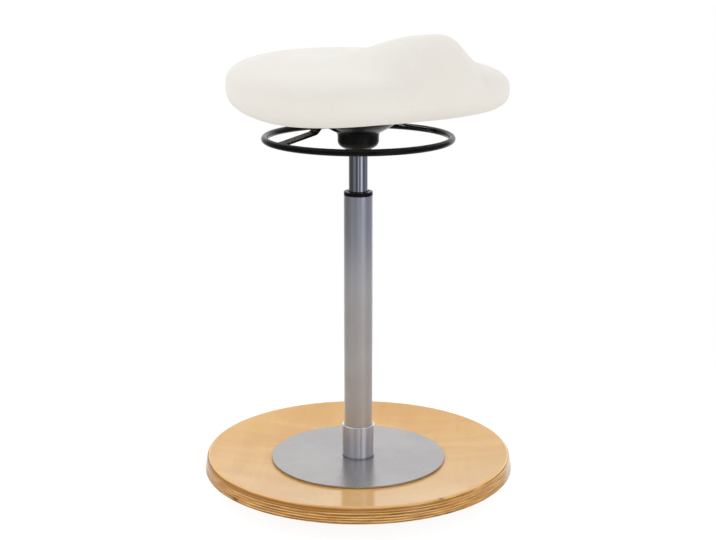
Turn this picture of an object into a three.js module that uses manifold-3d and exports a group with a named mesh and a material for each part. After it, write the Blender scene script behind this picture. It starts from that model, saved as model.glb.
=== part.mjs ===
// Height-adjustable wobble stool: a dished plywood base that rocks on a soft rubber foot,
// a steel column with a gas lift, a ring lever under the seat and a saddle-shaped cushion.
// Millimetres, +Z up, +Y to the front of the seat. The origin is the foot's centre on the floor.
import * as THREE from "three";
import { mergeVertices } from "three/addons/utils/BufferGeometryUtils.js";
import Module from "manifold-3d";

const wasm = await Module();
wasm.setup();

// Driving dimensions
const gap = 0.3; // seating and running clearance between neighbours
const sameCorner = 0.001; // corners this close are one
const overrun = 2; // how far a cutter passes a face
const footRadius = 62;
const soleThickness = 3;
const footHeight = 10; // sole and soft cushion together
const dishThickness = 25;
const dishTopRadius = 1350; // radius of the sphere that the dish is pressed to
const dishRimRadius = 228; // sharp corner of the dish's upper edge
const discRadius = 131;
const discThickness = 3;
const tubeRadius = 21.2;
const tubeWall = 2.5;
const columnHeight = 402; // steel disc to the top of the column tube
const collarHeight = 50;
const liftRadius = 14; // pressure tube of the gas lift
const liftShown = 57; // chrome left in sight at rest
const lowerTravel = 45;
const upperTravel = 155;
const ringRadius = 135.4;
const ringRodRadius = 4.9;
const ringLift = 21; // ring's plane above the trim cup's lower end
const cupRadius = 30;
const boardLift = 69.5; // seat board above the trim cup's lower end
const boardThickness = 12;
const seatMean = 199.6; // mean radius of the cushion's outline
const rimHeight = 45.8; // cushion's widest line above its underside
const crownHeight = 88.5; // middle of the sitting face above the underside
const cheekHeight = 57.2; // sitting face above the widest line, out at the cheeks
const humpHeight = 51.1; // rear lip above the sitting face
const coverThickness = 2;

// Facets round each size of piece
const fineSegments = 48;
const roundSegments = 32;
const smallSegments = 16;
const seatSegments = 44;

// How far a sphere of this radius has risen above its lowest point at r
function sphereRise(radius, r) {
  return radius - Math.sqrt(radius ** 2 - r ** 2);
}

// Levels worked out from the driving dimensions
const dishBottomZ = footHeight;
const dishTopZ = dishBottomZ + dishThickness;
const dishBottomRadius = dishTopRadius + dishThickness;
const discBottomZ = dishTopZ + sphereRise(dishTopRadius, discRadius) + gap;
const discTopZ = discBottomZ + discThickness;
const tubeTopZ = discTopZ + columnHeight;
const tubeBore = tubeRadius - tubeWall;

// Geometry helpers

// Gives a closed skin: shared corners, no collapsed faces, all faces outward
function closedSkin(geometry) {
  const bare = new THREE.BufferGeometry();
  bare.setAttribute("position", geometry.getAttribute("position"));
  bare.setIndex(geometry.getIndex());
  const merged = mergeVertices(bare, sameCorner);
  const point = merged.getAttribute("position");
  const corner = [0, 1, 2].map(() => new THREE.Vector3());
  const kept = [];
  let volume = 0;
  for (let i = 0; i < merged.index.count; i += 3) {
    const face = [0, 1, 2].map((k) => merged.index.getX(i + k));
    if (new Set(face).size < 3) continue;
    face.forEach((v, k) => corner[k].fromBufferAttribute(point, v));
    volume += corner[0].dot(corner[1].cross(corner[2]));
    kept.push(face);
  }
  if (volume < 0) kept.forEach((face) => face.reverse());
  merged.setIndex(kept.flat());
  return merged;
}

// Turns a profile of [radius, height] pairs round the Z axis
function revolve(profile, segments = roundSegments) {
  const points = profile.map(([r, z]) => new THREE.Vector2(r, z));
  return closedSkin(new THREE.LatheGeometry(points, segments).rotateX(Math.PI / 2));
}

// A ring's profile comes back to its first point
function revolveRing(profile, segments = roundSegments) {
  return revolve([...profile, profile[0]], segments);
}

// A flat washer or tube between two radii and two levels
function sleeve(inner, outer, bottom, top, segments = smallSegments) {
  return revolveRing([[inner, bottom], [outer, bottom], [outer, top], [inner, top]], segments);
}

function rod(radius, bottom, top, segments = smallSegments) {
  return revolve([[0, bottom], [radius, bottom], [radius, top], [0, top]], segments);
}

// Raises a flat outline from one level to another
function raise(shape, bottom, top, curveSegments = smallSegments / 2) {
  const options = { depth: top - bottom, bevelEnabled: false, curveSegments };
  return closedSkin(new THREE.ExtrudeGeometry(shape, options).translate(0, 0, bottom));
}

function toSolid(geometry) {
  return new wasm.Manifold(
    new wasm.Mesh({
      numProp: 3,
      vertProperties: new Float32Array(geometry.getAttribute("position").array),
      triVerts: new Uint32Array(geometry.getIndex().array),
    }),
  );
}

function fromSolid(solid) {
  const mesh = solid.getMesh();
  const geometry = new THREE.BufferGeometry();
  geometry.setAttribute("position", new THREE.BufferAttribute(mesh.vertProperties, 3));
  geometry.setIndex(new THREE.BufferAttribute(mesh.triVerts, 1));
  return geometry;
}

function cut(geometry, cutters) {
  return fromSolid(cutters.reduce((left, cutter) => left.subtract(toSolid(cutter)), toSolid(geometry)));
}

function join(geometries) {
  return fromSolid(geometries.map(toSolid).reduce((all, next) => all.add(next)));
}

// Places on a circle, the first one half a step round from +X
function circlePlaces(count, radius) {
  return Array.from({ length: count }, (_, i) => {
    const turn = ((i + 0.5) / count) * 2 * Math.PI;
    return [radius * Math.cos(turn), radius * Math.sin(turn)];
  });
}

function arcPoints(centreR, centreZ, radius, fromTurn, toTurn, steps) {
  return Array.from({ length: steps + 1 }, (_, i) => {
    const turn = fromTurn + ((toTurn - fromTurn) * i) / steps;
    return [centreR + radius * Math.cos(turn), centreZ + radius * Math.sin(turn)];
  });
}

// Foot: a tread sole and a soft cushion that follows the dish's underside
const soleChamfer = 1;
const cushionWaist = 3; // how far the cushion's side is drawn in
const footArcSteps = 3;

function footSole() {
  return revolve([
    [0, 0],
    [footRadius - soleChamfer, 0],
    [footRadius, soleChamfer],
    [footRadius, soleThickness],
    [0, soleThickness],
  ]);
}

function footCushion() {
  const top = Array.from({ length: footArcSteps + 1 }, (_, i) => {
    const r = footRadius * (1 - i / footArcSteps);
    return [r, dishBottomZ + sphereRise(dishBottomRadius, r) - gap];
  });
  const bottom = soleThickness;
  const middle = (bottom + top[0][1]) / 2;
  return revolve([[0, bottom], [footRadius, bottom], [footRadius - cushionWaist, middle], ...top]);
}

// Plywood dish: even thickness, edge square to the curved faces, rounded arrises
const dishBore = 20; // access hole to the foot of the column
const topArris = 5;
const bottomArris = 3;
const arrisSteps = 2;
const dishArcSteps = 4;
const baseScrewCount = 4;
const baseScrewCircle = 85;
const screwShank = 4;
const screwHeadRadius = 6.5;
const screwHeadHeight = 6;
const headClearance = 1.5; // tool room round a sunk head
const screwSink = 8; // depth of the counterbore
const nutFlats = 13;
const nutHeight = 6;
const nutRadius = nutFlats / Math.sqrt(3);
const dishBottomAtScrew = dishBottomZ + sphereRise(dishBottomRadius, baseScrewCircle);
const screwSeatZ = dishBottomAtScrew + screwSink;
const nutBottomZ = discBottomZ - nutHeight;

// A point of the dish's edge: inset along the face, depth below the upper face
function edgePoint(inset, depth) {
  const radius = dishTopRadius + depth;
  const turn = Math.asin(dishRimRadius / dishTopRadius) - inset / radius;
  return [radius * Math.sin(turn), dishTopZ + dishTopRadius - radius * Math.cos(turn)];
}

function dishFace(radius, rise, fromR, toR) {
  return Array.from({ length: dishArcSteps + 1 }, (_, i) => {
    const r = fromR + ((toR - fromR) * i) / dishArcSteps;
    return [r, rise + sphereRise(radius, r)];
  });
}

function arrisPoints(arris, depthOf, backwards) {
  const points = Array.from({ length: arrisSteps + 1 }, (_, i) => {
    const turn = (i / arrisSteps) * (Math.PI / 2);
    return edgePoint(arris * (1 - Math.cos(turn)), depthOf(arris * (1 - Math.sin(turn))));
  });
  return backwards ? points.reverse() : points;
}

function baseDish() {
  const lower = arrisPoints(bottomArris, (sunk) => dishThickness - sunk, true);
  const upper = arrisPoints(topArris, (sunk) => sunk, false);
  const profile = [
    ...dishFace(dishBottomRadius, dishBottomZ, dishBore, lower[0][0]).slice(0, -1),
    ...lower,
    ...upper,
    ...dishFace(dishTopRadius, dishTopZ, upper.at(-1)[0], dishBore).slice(1),
  ];
  const cutters = circlePlaces(baseScrewCount, baseScrewCircle).flatMap(([x, y]) => [
    rod(screwShank + gap, dishBottomZ - overrun, discBottomZ),
    rod(screwHeadRadius + headClearance, dishBottomZ - overrun, screwSeatZ),
    rod(nutRadius + gap, nutBottomZ - gap, discBottomZ),
  ].map((cutter) => cutter.translate(x, y, 0)));
  return cut(revolveRing(profile, fineSegments), cutters);
}

// Levelling pad: flat above, curved like the dish below, so the flat steel disc beds evenly
const padRadius = 108;

function levellingPad() {
  const under = dishFace(dishTopRadius, dishTopZ + gap, dishBore, padRadius);
  const pad = revolveRing([...under, [padRadius, discBottomZ], [dishBore, discBottomZ]]);
  const pocket = ([x, y]) => rod(nutRadius + gap, dishTopZ, discBottomZ + overrun).translate(x, y, 0);
  return cut(pad, circlePlaces(baseScrewCount, baseScrewCircle).map(pocket));
}

function hexNut(flats, bore, bottom, top) {
  const corner = flats / Math.sqrt(3);
  const shape = new THREE.Shape(circlePlaces(6, corner).map(([x, y]) => new THREE.Vector2(x, y)));
  shape.holes.push(new THREE.Path().absarc(0, 0, bore, 0, 2 * Math.PI));
  return raise(shape, bottom, top);
}

function baseScrew() {
  const top = discBottomZ - gap;
  const seat = screwSeatZ - gap;
  return revolve([
    [0, seat - screwHeadHeight],
    [screwHeadRadius, seat - screwHeadHeight],
    [screwHeadRadius, seat],
    [screwShank, seat],
    [screwShank, top],
    [0, top],
  ], smallSegments);
}

// Steel disc that carries the column, with an access hole in the middle
const discEdge = 0.6;
const discHole = 13;

function baseDisc() {
  return revolveRing([
    [discHole, discBottomZ],
    [discRadius - discEdge, discBottomZ],
    [discRadius, discBottomZ + discEdge],
    [discRadius, discTopZ - discEdge],
    [discRadius - discEdge, discTopZ],
    [discHole, discTopZ],
  ], fineSegments);
}

// Collar: a slightly tapered sleeve with a weld bead at its foot and a rounded mouth
const collarFootRadius = 23.8;
const collarMouthRadius = 24.8;
const collarBead = 2;
const mouthRound = 1.2;
const mouthSteps = 3;

function columnCollar() {
  const bore = tubeRadius + gap;
  const top = discTopZ + collarHeight;
  return revolveRing([
    [bore, discTopZ],
    [collarFootRadius + collarBead, discTopZ],
    [collarFootRadius, discTopZ + collarBead],
    ...arcPoints(collarMouthRadius - mouthRound, top - mouthRound, mouthRound, 0, Math.PI / 2, mouthSteps),
    [bore, top],
  ]);
}

// Column tube with a chamfered mouth
const mouthChamfer = 0.7;

function columnTube() {
  return revolveRing([
    [tubeBore, discTopZ],
    [tubeRadius, discTopZ],
    [tubeRadius, tubeTopZ - mouthChamfer],
    [tubeRadius - mouthChamfer, tubeTopZ],
    [tubeBore, tubeTopZ],
  ]);
}

// Guide bush: a plastic liner in the column's mouth with a flange on its rim
const bushFlange = 5.5;
const bushLength = 70;
const bushEdge = 1;
const bushTopZ = tubeTopZ + bushFlange;

function guideBush() {
  const bore = liftRadius + gap;
  const outer = tubeBore - gap;
  return revolveRing([
    [bore, tubeTopZ - bushLength],
    [outer, tubeTopZ - bushLength],
    [outer, tubeTopZ],
    [tubeRadius, tubeTopZ],
    [tubeRadius, bushTopZ - bushEdge],
    [tubeRadius - bushEdge, bushTopZ],
    [bore, bushTopZ],
  ]);
}

// Thrust bearing at the column's foot: floor plate, two washers and a caged ball race
const floorLift = 8; // floor plate above the steel disc
const floorThickness = 4;
const tailRadius = 4; // turned-down end of the piston rod
const washerOuter = 13;
const washerThickness = 1.5;
const ballRadius = 2;
const ballCount = 7;
const cageThickness = 1.6;
const ballFacets = 6;
const floorZ = discTopZ + floorLift;
const lowerWasherZ = floorZ + floorThickness;
const raceZ = lowerWasherZ + washerThickness + gap;
const upperWasherZ = raceZ + 2 * ballRadius + gap;
const shoulderZ = upperWasherZ + washerThickness;
const raceCircle = (tailRadius + washerOuter) / 2;

function bearingWasher(bottom) {
  return sleeve(tailRadius + gap, washerOuter, bottom, bottom + washerThickness);
}

function bearingRace() {
  const middle = raceZ + ballRadius;
  const cage = sleeve(tailRadius + gap, washerOuter, middle - cageThickness / 2, middle + cageThickness / 2);
  const balls = circlePlaces(ballCount, raceCircle).map(([x, y]) =>
    closedSkin(new THREE.SphereGeometry(ballRadius, ballFacets, ballFacets / 2).translate(x, y, middle)));
  return join([cage, ...balls]);
}

// Rubber stop that the pressure tube lands on
const damperHeight = 8;
const rodRadius = 5;

function rodDamper() {
  const bottom = shoulderZ + gap;
  const bulge = washerOuter + gap * 2;
  return revolveRing([
    [rodRadius + gap, bottom],
    [washerOuter, bottom],
    [bulge, bottom + damperHeight / 2],
    [washerOuter, bottom + damperHeight],
    [rodRadius + gap, bottom + damperHeight],
  ]);
}

// Piston rod: its tail passes through the bearing and the floor, and a clip holds it there
const clipThickness = 1.4;
const clipOuter = 8;
const clipMouth = Math.PI / 5;
const grooveRadius = 3.1;
const tailEnd = 3; // tail's end above the steel disc
const clipTopZ = floorZ - gap;
const clipBottomZ = clipTopZ - clipThickness;
const pistonHeight = 12;
const damperTopZ = shoulderZ + gap + damperHeight;
const liftBottomZ = damperTopZ + gap + lowerTravel;
const guideHeight = 20; // rod guide in the pressure tube's lower end
const pistonMargin = 20; // piston's distance from the guide at full height
const pistonZ = liftBottomZ + guideHeight + upperTravel + pistonMargin;

function pistonRod() {
  return revolve([
    [0, discTopZ + tailEnd],
    [tailRadius, discTopZ + tailEnd],
    [tailRadius, clipBottomZ - gap],
    [grooveRadius, clipBottomZ - gap],
    [grooveRadius, clipTopZ + gap / 2],
    [tailRadius, clipTopZ + gap / 2],
    [tailRadius, shoulderZ],
    [rodRadius, shoulderZ],
    [rodRadius, pistonZ - gap],
    [tailRadius - gap, pistonZ - gap],
    [tailRadius - gap, pistonZ + pistonHeight],
    [0, pistonZ + pistonHeight],
  ], smallSegments);
}

function retainingClip() {
  const shape = new THREE.Shape();
  shape.absarc(0, 0, clipOuter, clipMouth, -clipMouth, false);
  shape.absarc(0, 0, grooveRadius + gap, -clipMouth, clipMouth, true);
  return raise(shape, clipBottomZ, clipTopZ);
}

// Pressure tube: a straight cylinder whose upper end tapers into the seat's socket
const liftWall = 1.5;
const liftBore = liftRadius - liftWall;
const cupBottomZ = bushTopZ + liftShown;
const taperStart = 6; // start of the taper above the cup's lower end
const taperLength = 32.5;
const taper_share = 0.92; // upper radius of the taper as a share of the lower
const headWall = 3;
const taperZ = cupBottomZ + taperStart;
const liftTopZ = taperZ + taperLength;
const liftTopRadius = liftRadius * taper_share;
const headBore = liftTopRadius - headWall / 2;

function pressureTube() {
  return revolveRing([
    [liftBore, liftBottomZ],
    [liftRadius, liftBottomZ],
    [liftRadius, taperZ],
    [liftTopRadius, liftTopZ],
    [headBore, liftTopZ],
    [headBore, taperZ],
    [liftBore, taperZ],
  ]);
}

function rodGuide() {
  return sleeve(rodRadius + gap, liftBore - gap, liftBottomZ, liftBottomZ + guideHeight);
}

// Valve block in the tapered head, with a blind bore for the button
const valveTail = 28;
const buttonRadius = 4;
const buttonLength = 20;
const buttonShown = 4.7; // button above the pressure tube's top
const buttonDome = 1.4;
const domeSteps = 3;
const buttonTravel = 2.5;
const buttonTopZ = liftTopZ + buttonShown;
const buttonBottomZ = buttonTopZ - buttonLength;

function valveBlock() {
  const blind = buttonBottomZ - buttonTravel - gap;
  const bore = buttonRadius + gap;
  return revolve([
    [0, taperZ - valveTail],
    [liftBore - gap, taperZ - valveTail],
    [liftBore - gap, taperZ - gap],
    [headBore - gap, taperZ - gap],
    [headBore - gap, liftTopZ - gap],
    [bore, liftTopZ - gap],
    [bore, blind],
    [0, blind],
  ]);
}

function valveButton() {
  const domeRadius = (buttonRadius ** 2 + buttonDome ** 2) / (2 * buttonDome);
  const sweep = Math.asin(buttonRadius / domeRadius);
  const dome = arcPoints(0, buttonTopZ - domeRadius, domeRadius, Math.PI / 2 - sweep, Math.PI / 2, domeSteps);
  const profile = [[0, buttonBottomZ], [buttonRadius, buttonBottomZ], ...dome.slice(0, -1), [0, buttonTopZ]];
  return revolve(profile, smallSegments);
}

// Taper socket: the steel boss that grips the pressure tube
const socketRadius = 22.5;
const socketTopDrop = 3; // socket's upper end below the pressure tube's

function socketBore(z) {
  return liftRadius + ((liftTopRadius - liftRadius) * (z - taperZ)) / taperLength + gap;
}

function taperSocket() {
  const bottom = cupBottomZ + cupFloorLift + gap;
  const top = liftTopZ - socketTopDrop;
  return revolveRing([
    [socketBore(bottom), bottom],
    [socketRadius, bottom],
    [socketRadius, top],
    [socketBore(top), top],
  ]);
}

// Trim cup: a moulded cap round the socket that closes onto the chrome tube
const cupHeight = 26.5;
const cupFloorLift = 10.5; // inside floor above the cup's lower end
const cupRound = 5.5;
const cupRoundSteps = 4;
const lipRadius = 18.6;
const lipHeight = 3.2;
const neckRadius = 16.6;
const neckHeight = 3;
const lipStep = 2.2;
const cupShoulder_share = 0.53; // start of the bottom round, as a share of the cup's height

function trimCup() {
  const shoulderZ = cupBottomZ + cupShoulder_share * cupHeight;
  const lipZ = cupBottomZ + neckHeight;
  const underZ = lipZ + lipHeight;
  const top = cupBottomZ + cupHeight;
  const bore = liftRadius + gap;
  const wall = socketRadius + gap;
  const floor = cupBottomZ + cupFloorLift;
  return revolveRing([
    [bore, cupBottomZ],
    [neckRadius, cupBottomZ],
    [neckRadius, lipZ],
    [lipRadius, lipZ],
    [lipRadius, underZ],
    [lipRadius + lipStep, underZ + gap],
    ...arcPoints(cupRadius - cupRound, shoulderZ, cupRound, -Math.PI / 2, 0, cupRoundSteps),
    [cupRadius, top],
    [wall, top],
    [wall, floor],
    [bore, floor],
  ]);
}

// Carrier dish: a pressed bowl from the socket up to the seat, with a window for each arm
const carrierWall = 2.5;
const beadRadius = 31;
const flangeRadius = 86;
const flangeWidth = 14;
const flangeThickness = 3;
const beadSteps = 2;
const carrierSpread_shares = [0, 0.21, 0.52, 1];
const carrierRise_shares = [0, 0.13, 0.35, 1];
const windowInner = 37;
const strapWidth = 20;
const strapThickness = 3;
const windowSide = 3.5;
const carrierShoulder = flangeRadius - flangeWidth;
const carrierBottomZ = cupBottomZ + cupHeight + gap;
const boardBottomZ = cupBottomZ + boardLift;
const plateThickness = 4;
const plateBottomZ = boardBottomZ - plateThickness;
const seatScrewCount = 4;
const seatScrewCircle = flangeRadius - flangeWidth / 2;
const seatScrewShank = 3;
const seatScrewHead = 5.5;
const seatScrewHeadHeight = 4;

function carrierSection() {
  const bottom = carrierBottomZ + carrierWall;
  const rise = plateBottomZ - flangeThickness - bottom;
  const spread = carrierShoulder - beadRadius;
  return carrierSpread_shares.map((share, i) =>
    [beadRadius + spread * share, bottom + rise * carrierRise_shares[i]]);
}

function carrierDish() {
  const under = carrierSection();
  const over = under.map(([r, z]) => [r - carrierWall, z + carrierWall]).reverse();
  const bore = socketRadius + gap;
  const round = carrierWall / 2;
  const bead = arcPoints(beadRadius - round, carrierBottomZ + round, round, -Math.PI / 2, 0, beadSteps);
  const bowl = revolveRing([
    [bore, carrierBottomZ],
    ...bead,
    ...under,
    [flangeRadius, plateBottomZ - flangeThickness],
    [flangeRadius, plateBottomZ],
    [carrierShoulder, plateBottomZ],
    ...over.slice(1),
    [bore, carrierBottomZ + 2 * carrierWall],
  ]);
  const windowLength = carrierShoulder + gap - windowInner;
  const windowTop = plateBottomZ - flangeThickness;
  const windowHeight = windowTop - carrierBottomZ;
  const windowWidth = strapWidth + 2 * windowSide;
  const window = () => closedSkin(new THREE.BoxGeometry(windowLength, windowWidth, windowHeight));
  const middle = (windowInner + carrierShoulder + gap) / 2;
  const windows = [middle, -middle].map((x) => window().translate(x, 0, windowTop - windowHeight / 2));
  const holes = circlePlaces(seatScrewCount, seatScrewCircle).map(([x, y]) =>
    rod(seatScrewShank + gap, windowTop - overrun, plateBottomZ + overrun).translate(x, y, 0));
  return cut(bowl, [...windows, ...holes]);
}

// Carrier plate under the board, with a boss that the lever's hub tilts against
function screwHoles(holeRadius, bottom, top) {
  return circlePlaces(seatScrewCount, seatScrewCircle).map(([x, y]) =>
    rod(holeRadius, bottom - overrun, top + overrun).translate(x, y, 0));
}

function carrierPlate() {
  const plate = rod(flangeRadius, plateBottomZ, boardBottomZ, roundSegments);
  return cut(plate, screwHoles(seatScrewShank + gap, plateBottomZ, boardBottomZ));
}

// Ring lever: a steel rod ring and one cranked strap across it, with a round hub on the valve
const hubRadius = 20;
const hubThickness = 3;
const strapClear = 0.3; // strap above the button
const crankInset = 6; // crank's upper bend inside the dish's shoulder
const crankRun = 10;
const crankDrop = 10.5;
const strapEndRise = 1.6; // strap's end above the ring's plane
const ringZ = cupBottomZ + ringLift;
const strapBottomZ = buttonTopZ + strapClear;
const strapMiddleZ = strapBottomZ + strapThickness / 2;
const hubTopZ = strapBottomZ + strapThickness + hubThickness;
const bossBottomZ = hubTopZ + gap;

function ringRod() {
  const ring = new THREE.TorusGeometry(ringRadius, ringRodRadius, smallSegments / 2, fineSegments);
  return closedSkin(ring.translate(0, 0, ringZ));
}

// Outline of a bent strip of even thickness along a centre line of [x, z] points
function stripOutline(line, thickness) {
  const side = (sign) => line.map(([x, z], i) => {
    const before = line[Math.max(i - 1, 0)];
    const after = line[Math.min(i + 1, line.length - 1)];
    const directions = [[before, [x, z]], [[x, z], after]]
      .map(([a, b]) => new THREE.Vector2(b[0] - a[0], b[1] - a[1]))
      .filter((d) => d.length() > 0)
      .map((d) => d.normalize());
    const along = directions.reduce((sum, d) => sum.add(d.clone()), new THREE.Vector2()).normalize();
    const reach = thickness / 2 / along.dot(directions[0]);
    return new THREE.Vector2(x - along.y * reach * sign, z + along.x * reach * sign);
  });
  return new THREE.Shape([...side(-1), ...side(1).reverse()]);
}

function leverStrap() {
  const end = ringRadius - ringRodRadius - gap;
  const bend = carrierShoulder - crankInset;
  const arm = [
    [bend, strapMiddleZ],
    [bend + crankRun, strapMiddleZ - crankDrop],
    [end, ringZ + strapEndRise],
  ];
  const line = [...arm.map(([x, z]) => [-x, z]).reverse(), ...arm];
  const options = { depth: strapWidth, bevelEnabled: false };
  const strip = new THREE.ExtrudeGeometry(stripOutline(line, strapThickness), options);
  return closedSkin(strip.rotateX(Math.PI / 2).translate(0, strapWidth / 2, 0));
}

// Seat board, tee nuts and screws
const board_share = 0.72; // board's outline as a share of the cushion's
const teeFlangeRadius = 9.5;
const teeFlange = 1.5;
const teeBarrel = 4.4;
const teeLength = 9;
const boardTopZ = boardBottomZ + boardThickness;

function teeNut() {
  const bore = seatScrewShank + gap;
  return revolveRing([
    [bore, boardTopZ - teeLength],
    [teeBarrel, boardTopZ - teeLength],
    [teeBarrel, boardTopZ],
    [teeFlangeRadius, boardTopZ],
    [teeFlangeRadius, boardTopZ + teeFlange],
    [bore, boardTopZ + teeFlange],
  ], smallSegments);
}

function seatScrew() {
  const seat = plateBottomZ - flangeThickness;
  return revolve([
    [0, seat - seatScrewHeadHeight],
    [seatScrewHead, seat - seatScrewHeadHeight],
    [seatScrewHead, seat],
    [seatScrewShank, seat],
    [seatScrewShank, boardTopZ],
    [0, boardTopZ],
  ], smallSegments);
}

// Cushion: a rounded outline from harmonics of the bearing from the rear, soft rear shoulders
// and a raised lip at the back. Shares follow the mean radius or the height that they shape.
const outline_shares = [1, 0.09, 0.053, 0.006, -0.027];
const rim_shares = [1, 0.022, 0.057];
const cheek_shares = [1, -0.035, -0.027, -0.007];
const belly_shares = [1, -0.047, -0.072];
const upperRoundness = 2.81; // exponent of the side's upper curve
const sideRoundness = 0.19; // added to it at the sides
const shoulderSoftness = 0.67; // taken off it at the rear shoulders
const shoulderBearing = 0.937; // radians from the rear
const shoulderWidth = 0.408;
const lowerRoundness = 2.9;
const humpBack_share = 0.887; // rear lip's middle, as a share of the mean radius
const humpWide_share = 0.333;
const humpDeep_share = 0.407;
const humpFlatness = 3.7;
const boardSunk = 20.7; // board's underside above the cushion's
const upperReach_shares = [0.2, 0.38, 0.55, 0.7, 0.82, 0.91, 0.97];
const lowerReach_shares = [0.97, 0.9, 0.8, 0.7, 0.6];
const normalStep = 0.01; // radians
const seatBottomZ = boardBottomZ - boardSunk;
const seatTurns = Array.from({ length: seatSegments }, (_, i) => (i / seatSegments) * 2 * Math.PI);

function harmonics(shares, bearing) {
  return shares.reduce((sum, share, k) => sum + share * Math.cos(k * bearing), 0);
}

// Angle from the rear, where -Y is the rear
function bearingOf(turn) {
  return Math.atan2(Math.cos(turn), -Math.sin(turn));
}

function outlineRadius(turn) {
  return seatMean * harmonics(outline_shares, bearingOf(turn));
}

function roundness(turn, upper) {
  if (!upper) return lowerRoundness;
  const bearing = bearingOf(turn);
  const offShoulder = (Math.abs(bearing) - shoulderBearing) / shoulderWidth;
  const softening = shoulderSoftness * Math.exp(-(offShoulder ** 2));
  return upperRoundness - sideRoundness * Math.cos(2 * bearing) - softening;
}

function hump(x, y) {
  const across = Math.abs(x / (humpWide_share * seatMean)) ** humpFlatness;
  const along = ((y + humpBack_share * seatMean) / (humpDeep_share * seatMean)) ** 2;
  return humpHeight * Math.exp(-across - along);
}

// A point of the cushion's skin: turn round Z, tilt from a quarter turn below to one above
function skinPoint(turn, tilt) {
  const bearing = bearingOf(turn);
  const power = 2 / roundness(turn, tilt >= 0);
  const reach = Math.abs(Math.cos(tilt)) ** power;
  const climb = Math.abs(Math.sin(tilt)) ** power;
  const x = outlineRadius(turn) * reach * Math.cos(turn);
  const y = outlineRadius(turn) * reach * Math.sin(turn);
  const blend = reach ** 2 * (3 - 2 * reach);
  const rim = rimHeight * harmonics(rim_shares, bearing);
  const cheek = rim + cheekHeight * harmonics(cheek_shares, bearing);
  const top = crownHeight * (1 - blend) + cheek * blend + hump(x, y);
  const belly = (rim - rimHeight * harmonics(belly_shares, bearing)) * blend;
  const z = tilt >= 0 ? rim + (top - rim) * climb : rim - (rim - belly) * climb;
  return new THREE.Vector3(x, y, seatBottomZ + z);
}

// The same point moved square into the cushion
function insetPoint(turn, tilt, inset) {
  const along = skinPoint(turn + normalStep, tilt).sub(skinPoint(turn - normalStep, tilt));
  const up = skinPoint(turn, tilt + normalStep).sub(skinPoint(turn, tilt - normalStep));
  const outward = along.cross(up).normalize();
  return skinPoint(turn, tilt).addScaledVector(outward, -inset);
}

function skinRing(reach, upper, inset) {
  return seatTurns.map((turn) => {
    const tilt = Math.acos(reach ** (roundness(turn, upper) / 2));
    return insetPoint(turn, upper ? tilt : -tilt, inset);
  });
}

function skinRings(inset) {
  const upper = upperReach_shares.map((reach) => skinRing(reach, true, inset));
  const lower = lowerReach_shares.map((reach) => skinRing(reach, false, inset));
  return [...upper, skinRing(1, true, inset), ...lower];
}

function topPole(inset) {
  return new THREE.Vector3(0, 0, seatBottomZ + crownHeight + hump(0, 0) - inset);
}

// Skins rings of points between two poles into one closed body
function loft(firstPole, rings, lastPole) {
  const count = seatSegments;
  const points = [firstPole, ...rings.flat(), lastPole];
  const last = points.length - 1;
  const at = (ring, i) => 1 + ring * count + (i % count);
  const faces = [];
  for (let i = 0; i < count; i += 1) {
    faces.push(0, at(0, i), at(0, i + 1));
    faces.push(last, at(rings.length - 1, i + 1), at(rings.length - 1, i));
    for (let ring = 0; ring < rings.length - 1; ring += 1) {
      const [a, b] = [at(ring, i), at(ring + 1, i)];
      const [c, d] = [at(ring + 1, i + 1), at(ring, i + 1)];
      const acShorter = points[a].distanceTo(points[c]) < points[b].distanceTo(points[d]);
      faces.push(...(acShorter ? [a, b, c, a, c, d] : [a, b, d, b, c, d]));
    }
  }
  const geometry = new THREE.BufferGeometry().setFromPoints(points);
  geometry.setIndex(faces);
  return closedSkin(geometry);
}

// The board's outline follows the cushion's, grown by a margin
function boardRing(share, margin, z) {
  return seatTurns.map((turn) => {
    const radius = outlineRadius(turn) * share + margin;
    return new THREE.Vector3(radius * Math.cos(turn), radius * Math.sin(turn), z);
  });
}

function seatBoard() {
  const outline = boardRing(board_share, 0, 0).map((p) => new THREE.Vector2(p.x, p.y));
  const board = raise(new THREE.Shape(outline), boardBottomZ, boardTopZ);
  return cut(board, screwHoles(teeBarrel + gap, boardBottomZ, boardTopZ));
}

// Stretch cover: open underneath, its hem drawn in below the board's edge
function seatCover() {
  const outer = skinRings(0);
  const inner = skinRings(coverThickness).reverse();
  return loft(topPole(0), [...outer, ...inner], topPole(coverThickness));
}

// Moulded foam: fills the cover and wraps the board's edge
function seatFoam() {
  const inset = coverThickness + gap;
  const rings = skinRings(inset);
  const lip = rings.at(-1).map((p) => new THREE.Vector3(p.x, p.y, boardBottomZ - gap));
  const ceiling = boardTopZ + teeFlange + gap;
  const pocket = [
    lip,
    boardRing(board_share, gap, boardBottomZ - gap),
    boardRing(board_share, gap, ceiling),
  ];
  return loft(topPole(inset), [...rings, ...pocket], new THREE.Vector3(0, 0, ceiling));
}

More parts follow.
